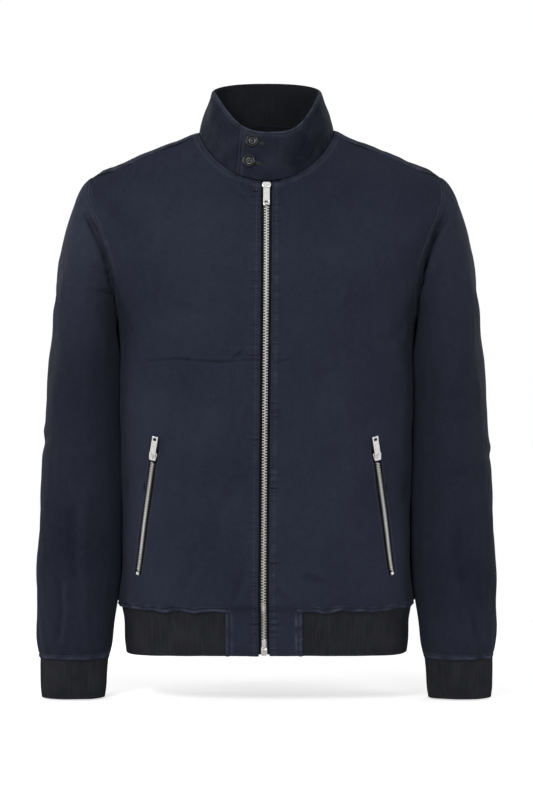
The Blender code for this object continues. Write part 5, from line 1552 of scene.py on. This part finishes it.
def make_collar_cloth(materials):
    """Outer collar: tucked into the neck seam, turned over at its stitched edges and creased,
    with its last stretch lying on the first as the tab."""
    near, tall = np.array(COLLAR_ROWS), 58.0
    total = NECK_LENGTH + TAB_END + UNDER_END
    even = np.arange(5, total - 7.5, COLLAR_STEP)
    arcs = np.concatenate([near[:5], even, total - near[::-1]]) - UNDER_END
    heights = np.concatenate([1 - near / tall, np.linspace(1 - 8.2 / tall, 0.05, 24),
                              (0.03, 0.015, 0, -0.02, -0.045)])
    strip = collar_points(arcs, heights)[:, ::-1]
    arcs = arcs[::-1]
    tucked = (1 - tab_rise(arcs)) * past(arcs, -UNDER_END, 10)
    edge = len(heights) - 3
    strip[edge + 1:] = strip[edge] + (strip[edge + 1:] - strip[edge]) * np.maximum(tucked, 0.15)[:, None]
    normals = grid_normals(strip)
    down, along = run_lengths(strip, 0), run_lengths(strip, 1)
    from_tab = NECK_LENGTH + TAB_END - arcs[None]
    from_seam = np.maximum(down[edge] - down, 0)
    relief = edge_relief(down, along, 400, (COLLAR_STITCH,), ZIP_LIFT, COLLAR_STITCH, 0.25)
    relief += 0.4 * until(from_tab, 6.0, 2) - 0.8 * bell(from_tab / 0.8)
    relief += 0.3 * waves(down, 7.0, 402) * peak(from_tab, 4, 5) - 0.45 * peak(from_tab, TAB_STITCH, 0.9)
    relief -= 0.35 * bell(from_seam / 0.9) + 1.3 * tucked * np.maximum(down - down[edge], 0)
    relief += 0.5 * waves(along, 16.0, 404) * bell(from_seam / 9) * ease(from_seam / 3)
    relief += 0.6 * peak(from_tab, TAB_END + UNDER_END, 2.5) * past(from_tab, 10, 10)
    relief += 0.8 * waves(strip, 30.0, 406) * ease(from_seam / 8) * ease(down / 6)
    relief += 1.5 * view_relief(strip, normals, 1, {"front": COLLAR_FOLDS})

    worn = 0.9 * peak(down, 1.0, 1.3) + 0.3 * peak(down, COLLAR_STITCH + 1.2, 0.9)
    worn = worn + 0.4 * peak(from_tab, 1.2, 1.0) + 0.3 * peak(from_tab, 6.4, 0.9)
    worn = worn * (0.75 + 0.4 * waves(along, 22.0, 408)) + 0.05 * waves(strip, 24.0, 409)
    # Painted shade on the front of the collar at the wearer's left, the side away from the key light.
    worn = worn - 0.12 * past(strip[..., 0], 12, 26) * ease(-2 * normals[..., 1])
    outer = moved({"points": strip, "normals": normals}, relief, worn)
    piece = cloth_wall("collar_cloth", outer, 1, materials["collar"], COLLAR_CLOTH)
    carried(piece, ["collar"])
    lines = [line_down(outer, down, COLLAR_STITCH, slice(7, -3)),
             line_across(outer, np.broadcast_to(from_tab, down.shape), TAB_STITCH, slice(6, -3))]
    sew("collar_stitches", outer, 1, lines, materials["thread"])
    return piece, outer


def make_collar_lining(material):
    """Ribbed inner collar, reaching down behind the neck seam."""
    total = NECK_LENGTH + TAB_END + UNDER_END
    ribs = int((total - 4) / RIB_PITCH)
    arcs = np.linspace(2.0, total - 2.0, ribs * RIB_COLUMNS + 1) - UNDER_END
    heights = np.concatenate([np.linspace(0.965, 0.01, 20), (-0.04, -0.08, -0.12)])
    inner = collar_points(arcs, heights, COLLAR_WALL + SEAM_GAP + LINING)
    behind = ease(4 * (0.5 - np.abs(arcs / NECK_LENGTH - 0.5)) - 0.8)
    inner[20:] = inner[19] + (inner[20:] - inner[19]) * np.maximum(behind, 0.05)[:, None]
    normals = grid_normals(inner)
    columns = np.arange(len(arcs)) * RIB_PITCH / RIB_COLUMNS
    relief = RIB_DEPTH * np.cos(2 * np.pi * columns / RIB_PITCH) + 0.3 * waves(inner, 30.0, 410)
    points = inner + normals * relief[..., None]
    panel = {"points": points, "normals": normals, "down": run_lengths(inner, 0),
             "round": np.broadcast_to(columns, points.shape[:2])}
    piece = cloth_wall("collar_lining_knit", panel, 1, material, LINING, 80)
    return carried(piece, ["collar_lining"]), panel


# ---- zips

def strip_frames(rows, side, pocket):
    """Points on the middle line of a zip, with unit vectors across, up the zip and outward."""
    def on_cloth(rows, offsets):
        middle = pocket_arcs(rows) if pocket else np.zeros(len(rows))
        return lean(body_points(rows, middle[:, None] + offsets, "front") * (side, 1, 1))

    pair, lower = on_cloth(rows, np.array([0.0, 1.5])), on_cloth(rows + 0.02, np.zeros(1))
    up = unit(pair[:, 0] - lower[:, 0])
    outward = unit(np.cross((pair[:, 1] - pair[:, 0]) * side, up))
    return pair[:, 0], np.cross(up, outward), up, outward


def even_rows(first, last, pitch, side, pocket):
    """Rows at even distances along a zip's middle line."""
    dense = np.linspace(first, last, 600)
    run = travelled(strip_frames(dense, side, pocket)[0])
    return np.interp(np.arange(pitch / 2, run[-1], pitch), run, dense)


def make_teeth(name, node, rows, side, pocket, half, tall, material):
    """Interlocked metal teeth, left and right in turn: each is a plate that reaches over the
    middle, with chamfered sides and a narrower tip."""
    point, across, up, outward = (part[:, None] for part in strip_frames(rows, side, pocket))
    way = np.where(np.arange(len(rows)) % 2, 1.0, -1.0)[:, None]
    tip = -TOOTH_OVERLAP * half
    outline = np.array([(half, -0.42), (half, 0.42), (0.1, 0.36), (tip, 0.26), (tip, -0.26), (0.1, -0.36)])
    middle = outline.mean(axis=0)
    layers = []
    for height, scale in ((-1.5, (1.0, 1.0)), (0.0, (1.0, 1.0)), (0.34, (0.92, 0.6))):
        spot = (outline - middle) * scale + middle
        x, y = (spot[:, 0] * way)[..., None], (spot[:, 1] * tall)[:, None]
        layers.append(point + across * x + up * y + outward * height)
    ends = np.array([[0, 1, 2, 3], [0, 3, 4, 5], [15, 14, 13, 12], [17, 16, 15, 12]])
    tooth = np.concatenate([grid_faces(3, 6, closed=True), ends])
    faces = np.where((way > 0)[:, None], tooth[:, ::-1], tooth) + 18 * np.arange(len(rows))[:, None, None]
    vertices = np.stack(layers, axis=1).reshape(-1, 3)
    piece = make_mesh(name, vertices, faces.reshape(-1, 4), material, sharp=30)
    return carried(piece, [node])


def make_cord(name, rows, side, pocket, place, radius, material):
    """Round beaded edge of the tape behind the teeth: a circle carried along the zip."""
    point, across, _, outward = strip_frames(rows, side, pocket)
    angle = (np.arange(8) * math.tau / 8)[:, None]
    circle = radius * (across[:, None] * np.cos(angle) + outward[:, None] * np.sin(angle))
    lines = [point + across * (way * place) - outward for way in (-1, 1)]
    return make_tubes(name, lines, circle, [[0, 1, 2, 3], [0, 3, 4, 7], [4, 5, 6, 7]], material)


def make_tape(name, points, side, material):
    """A woven tape sunk behind the cloth, with fine welts along it."""
    normals = grid_normals(points)
    points = points - normals * TAPE_SINK
    welts = TAPE_WELT * np.cos(2 * np.pi * run_lengths(points, 1) / TAPE_WELT_PITCH)
    panel = {"points": points + normals * welts[..., None], "normals": normals, "leans": True,
             "round": run_lengths(points, 1), "down": run_lengths(points, 0),
             "worn": 0.5 * ease(waves(points, 20.0, 500))}
    piece = carried(cloth_wall(name + "_woven", panel, side, material, TAPE, 60), [name])


def solid_arrays(node):
    """A CAD node's points in millimetres and the corners of its triangles."""
    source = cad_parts[node].data
    points = np.empty(len(source.vertices) * 3, np.float32)
    source.vertices.foreach_get("co", points)
    corners = np.empty(len(source.loops), np.int32)
    source.loops.foreach_get("vertex_index", corners)
    return points.reshape(-1, 3).astype(float) / MM, corners


def polished(node, body, material, bevel):
    """A merged copy of a metal node with its edges rounded."""
    points, corners = solid_arrays(node)
    _, first, same = np.unique(np.round(points, 3), axis=0, return_index=True, return_inverse=True)
    faces = same.ravel()[corners].reshape(-1, 3)
    piece = make_mesh(node + "_metal", points[first], faces, material, sharp=30)
    rounding = piece.modifiers.new("rounded edges", "BEVEL")
    rounding.width = bevel * MM
    rounding.segments = 2
    rounding.limit_method = "ANGLE"
    rounding.angle_limit = math.radians(40)
    return carried(piece, [node], body)


def make_slider(material):
    """Slider of the main zip: an outline with bulging shoulders and a narrow tail, in layers
    that draw in towards the face. It fills the width, length and height of its solid."""
    point, across, up, outward = strip_frames(np.array([CHAIN_FIRST_ROW]), 1, False)
    axes = np.concatenate([across, up, outward])
    solid = (solid_arrays("zip_slider")[0] - point) @ axes.T
    low, high = solid.min(axis=0), solid.max(axis=0)
    wide = np.array([0.50, 0.74, 0.92, 1.0, 1.0, 0.90, 0.76, 0.68])
    deep = np.array([0.24, 0.26, 0.36, 0.52, 0.70, 0.84, 0.95, 1.0])
    outline = np.concatenate([np.stack([wide, -deep], axis=1), np.stack([-wide, -deep], axis=1)[::-1]])
    outline = outline * ((high[0] - low[0]) / 2, high[1] - low[1]) + ((low[0] + high[0]) / 2, high[1])
    middle = outline.mean(axis=0)
    reach = np.linalg.norm(outline - middle, axis=1, keepdims=True)
    layers = []
    for height, inset in ((low[2], 0.0), (high[2] - 0.7, 0.0), (high[2] - 0.2, 0.35), (high[2], 0.9)):
        spot = middle + (outline - middle) * (1 - inset / reach)
        layers.append(point + spot @ axes[:2] + height * axes[2])
    ring = len(outline)
    side = np.arange(ring // 2 - 1)
    cap = np.stack([side, side + 1, ring - 2 - side, ring - 1 - side], axis=1)
    faces = np.concatenate([grid_faces(len(layers), ring, closed=True), cap + ring * (len(layers) - 1),
                            cap[:, ::-1]])
    piece = make_mesh("zip_slider_metal", np.concatenate(layers), faces, material, sharp=35)
    return carried(piece, ["zip_slider"])


def make_zips(materials):
    """The main zip with its tapes, teeth, cord and metal, and the two pocket zips."""
    rows = even_rows(TAPE_FIRST_ROW, TAPE_LAST_ROW, 4.0, 1, False)
    rows = np.concatenate([[TAPE_FIRST_ROW], rows, [TAPE_LAST_ROW]])
    arcs = np.broadcast_to(np.linspace(TAPE_INNER, TAPE_OUTER, 14), (len(rows), 14))
    tape = body_points(rows, arcs, "front")
    for name, side in (("zip_tape_left", 1), ("zip_tape_right", -1)):
        make_tape(name, tape, side, materials["tape"])
    rows = even_rows(CHAIN_FIRST_ROW, CHAIN_LAST_ROW, TOOTH_PITCH, 1, False)
    make_teeth("zip_teeth_row", "zip_chain", rows, 1, False, 3.2, TOOTH_PITCH, materials["teeth"])
    make_cord("zip_cord", rows[::3], 1, False, 2.7, 0.8, materials["tape"])
    make_slider(materials["nickel"])
    polished("zip_pull", "zip_pull", materials["nickel"], 0.22)
    polished("zip_box", "jacket", materials["nickel"], 0.25)
    for label, side in (("left", 1), ("right", -1)):
        ends = (POCKET_TOP_ROW - 0.2, POCKET_END_ROW + 0.2)
        rows = np.concatenate([[ends[0]], even_rows(*ends, 3.0, side, True), [ends[1]]])
        border = SLOT_HALF + SLOT_BORDER - 0.5
        across = pocket_arcs(rows)[:, None] + np.linspace(-border, border, 20)
        make_tape(f"pocket_tape_{label}", body_points(rows, across, "front"), side, materials["tape"])
        rows = even_rows(POCKET_CHAIN_ROW, POCKET_STOP_ROW - 0.06, POCKET_TOOTH_PITCH, side, True)
        make_teeth(f"pocket_teeth_{label}", f"pocket_chain_{label}", rows, side, True, 2.5,
                   POCKET_TOOTH_PITCH, materials["teeth"])
        polished(f"pocket_slider_{label}", "jacket", materials["nickel"], 0.25)
        polished(f"pocket_pull_{label}", f"pocket_pull_{label}", materials["nickel"], 0.22)
        polished(f"pocket_stop_{label}", "jacket", materials["nickel"], 0.25)


# ---- buttons

def collar_spot(x, height):
    """A point on the tab, found by its place across the front and its height, with its axes."""
    arcs = NECK_LENGTH + np.linspace(0, TAB_END, 60)
    line = collar_points(arcs, np.array([height]))[0]
    arc = np.interp(-x, -line[:, 0], arcs)
    spot = collar_points([arc - 0.5, arc + 0.5], np.array([height - 0.02, height + 0.02]))
    across, up = spot[0, 0] - spot[0, 1], spot[1, 0] - spot[0, 0]
    across, outward = unit(across), unit(np.cross(across, up))
    return spot.mean(axis=(0, 1)), across, np.cross(outward, across), outward


def make_button(name, x, height, materials):
    """Turned button: a profile spun about its axis, with four wells sunk in its middle, and
    two bars of thread across them."""
    centre, across, up, outward = collar_spot(x, height)
    rings, top, under = np.array(BUTTON_RINGS), np.array(BUTTON_TOP), np.array(BUTTON_UNDER)
    radius = np.concatenate([rings, under[:, 0]])[:, None] * BUTTON_SCALE
    tall = np.concatenate([np.interp(rings, top[:, 0], top[:, 1]), under[:, 1]])
    tall = np.repeat(tall[:, None], BUTTON_TURNS, axis=1)
    angle = np.arange(BUTTON_TURNS) * math.tau / BUTTON_TURNS
    aside, above = radius * np.cos(angle), radius * np.sin(angle)
    well = BUTTON_HOLE_PLACE * math.sin(math.radians(45))
    for well_x, well_y in ((well, well), (-well, well), (-well, -well), (well, -well)):
        gap = np.hypot(aside - well_x, above - well_y)[:len(rings)]
        tall[:len(rings)] -= BUTTON_HOLE_DEPTH * until(gap, BUTTON_HOLE + 0.15, 0.35)
    seat = centre + outward * SEAM_GAP
    points = seat + aside[..., None] * across + above[..., None] * up + tall[..., None] * outward
    faces = grid_faces(*tall.shape, closed=True)
    piece = make_mesh(name + "_turned", points.reshape(-1, 3), faces, materials["button"], sharp=35)
    weld = piece.modifiers.new("closed poles", "WELD")
    weld.merge_threshold = 0.00001
    carried(piece, [name])

    share = np.linspace(-1, 1, THREAD_RINGS)[:, None]
    bar = seat + share * well * 1.05 * across + (1.75 - 1.3 * share**4) * outward
    angle = (np.arange(6) * math.tau / 6)[:, None]
    circle = THREAD_BAR * (np.cos(angle) * up + np.sin(angle) * outward)
    make_tubes(name + "_thread", [bar - well * up, bar + well * up], circle, [[0, 1, 2, 3], [0, 3, 4, 5]],
               materials["thread"])
    make_buttonhole(name, centre, across, up, outward, materials["hole"])


def make_buttonhole(name, centre, across, up, outward, material):
    """Worked buttonhole beside the button: close stitches round a slit, standing off the cloth."""
    turn = (np.arange(HOLE_STITCHES) / HOLE_STITCHES)[:, None, None]
    way = np.where(turn < 0.5, 1.0, -1.0)
    along = np.where(turn < 0.5, 4 * turn - 1, 3 - 4 * turn) * HOLE_LENGTH / 2
    reach, lift = np.array([HOLE_INNER, HOLE_OUTER]).T[..., None]
    x, z = np.array([(-0.19, 0.0, 0.19, 0.0), (0.0, 0.24, 0.0, -0.3)])
    places = np.stack(np.broadcast_arrays(HOLE_OFFSET + along + x, way * reach, lift + z), axis=-1)
    vertices = centre + places.reshape(-1, 3) @ np.stack([across, up, outward])
    shape = np.array([[0, 1, 5, 4], [1, 2, 6, 5], [2, 3, 7, 6], [3, 0, 4, 7], [3, 2, 1, 0], [4, 5, 6, 7]])
    faces = (shape + 8 * np.arange(HOLE_STITCHES)[:, None, None]).reshape(-1, 4)
    carried(make_mesh(name + "_hole_stitches", vertices, faces, material))


# ---- studio

def make_floor():
    """Pale round floor that glows a little for the camera and fades away toward its rim."""
    turn = np.arange(FLOOR_SIDES) * math.tau / FLOOR_SIDES
    level = np.full(FLOOR_SIDES, cad_low[2] - FLOOR_DROP)
    corners = np.stack([FLOOR_RADIUS * np.cos(turn), FLOOR_RADIUS * np.sin(turn), level], axis=1)
    mesh = bpy.data.meshes.new("studio_floor")
    mesh.from_pydata(corners.tolist(), [], [list(range(FLOOR_SIDES))])
    floor = bpy.data.objects.new("studio_floor", mesh)
    bpy.context.scene.collection.objects.link(floor)
    material, tree, shader = new_material("pale_floor", FLOOR_COLOUR, Roughness=0.9)
    shader.inputs["Emission Color"].default_value = (1, 1, 1, 1)
    seen = add_node(tree, "LightPath").outputs["Is Camera Ray"]
    tree.links.new(product(tree, seen, FLOOR_GLOW), shader.inputs["Emission Strength"])
    place = add_node(tree, "SeparateXYZ", _0=add_node(tree, "TexCoord").outputs["Object"])
    flat = add_node(tree, "CombineXYZ", X=place.outputs["X"], Y=place.outputs["Y"]).outputs[0]
    radius = add_node(tree, "VectorMath", {"operation": "LENGTH"}, _0=flat).outputs["Value"]
    fade = add_node(tree, "MapRange", {"interpolation_type": "SMOOTHSTEP"}, Value=radius,
                    _1=FLOOR_FADE_START, _2=FLOOR_FADE_END, _3=1.0, _4=0.0).outputs[0]
    tree.links.new(fade, shader.inputs["Alpha"])
    mesh.materials.append(material)


def make_world():
    """White surroundings, dimmer as light on the cloth than as seen by the camera."""
    world = bpy.data.worlds.new("white_studio")
    bpy.context.scene.world = world
    world.use_nodes = True
    tree = world.node_tree
    tree.nodes.clear()
    seen = add_node(tree, "Background", Color=(1, 1, 1, 1), Strength=1.0)
    lit = add_node(tree, "Background", Color=(1, 1, 1, 1), Strength=WORLD_LIGHT)
    path = add_node(tree, "LightPath")
    mirrored = product(tree, path.outputs["Is Glossy Ray"], MIRRORED_LIGHT)
    share = math_node(tree, "MAXIMUM", path.outputs["Is Camera Ray"], mirrored)
    mixed = add_node(tree, "MixShader", Fac=share, _1=lit.outputs[0], _2=seen.outputs[0])
    output = tree.nodes.new("ShaderNodeOutputWorld")
    tree.links.new(mixed.outputs[0], output.inputs["Surface"])


def make_lights():
    """Soft round lights aimed at the middle of the jacket."""
    scene = bpy.context.scene
    for name, place, size, power in LIGHTS:
        light = bpy.data.lights.new(name, "AREA")
        light.shape, light.size, light.energy = "DISK", size, power
        lamp = bpy.data.objects.new(name, light)
        lamp.location = place
        lamp.visible_camera = False
        aim = Vector((0, 0, VIEW_HEIGHT)) - lamp.location
        lamp.rotation_euler = aim.to_track_quat("-Z", "Y").to_euler()
        scene.collection.objects.link(lamp)
    scene.view_settings.view_transform = "Standard"


def make_camera():
    """The camera sees one pixel as PIXEL millimetres at the middle of the jacket."""
    camera = bpy.data.cameras.new("camera")
    camera.sensor_width = camera.sensor_height = 36.0
    camera.lens = 36.0 * VIEW_DISTANCE / (PHOTO_HEIGHT * PIXEL * MM)
    camera.clip_end = 200.0
    eye = bpy.data.objects.new("camera", camera)
    rise = math.radians(VIEW_ELEVATION)
    target = Vector((0, 0, VIEW_HEIGHT))
    eye.location = target + VIEW_DISTANCE * Vector((0, -math.cos(rise), math.sin(rise)))
    eye.rotation_euler = (target - eye.location).to_track_quat("-Z", "Y").to_euler()
    bpy.context.scene.collection.objects.link(eye)
    bpy.context.scene.camera = eye


def main():
    """Builds every piece, the studio and the camera."""
    materials = make_materials()
    front, back, sleeve = front_base(), back_base(), sleeve_base()
    share_normals([front, back, sleeve])
    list(make_back(back, materials))
    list(make_hem_rib(materials["rib"]))
    for label, side in (("left", 1), ("right", -1)):
        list(make_front(f"front_{label}", front, side, materials))
        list(make_sleeve(f"sleeve_{label}", sleeve, side, materials))
        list(make_cuff(f"cuff_{label}", side, materials["rib"]))
    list(make_collar_cloth(materials))
    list(make_collar_lining(materials["lining"]))
    make_zips(materials)
    for name, x, height in BUTTONS:
        make_button(name, x, height, materials)
    make_floor()
    make_world()
    make_lights()
    make_camera()


main()
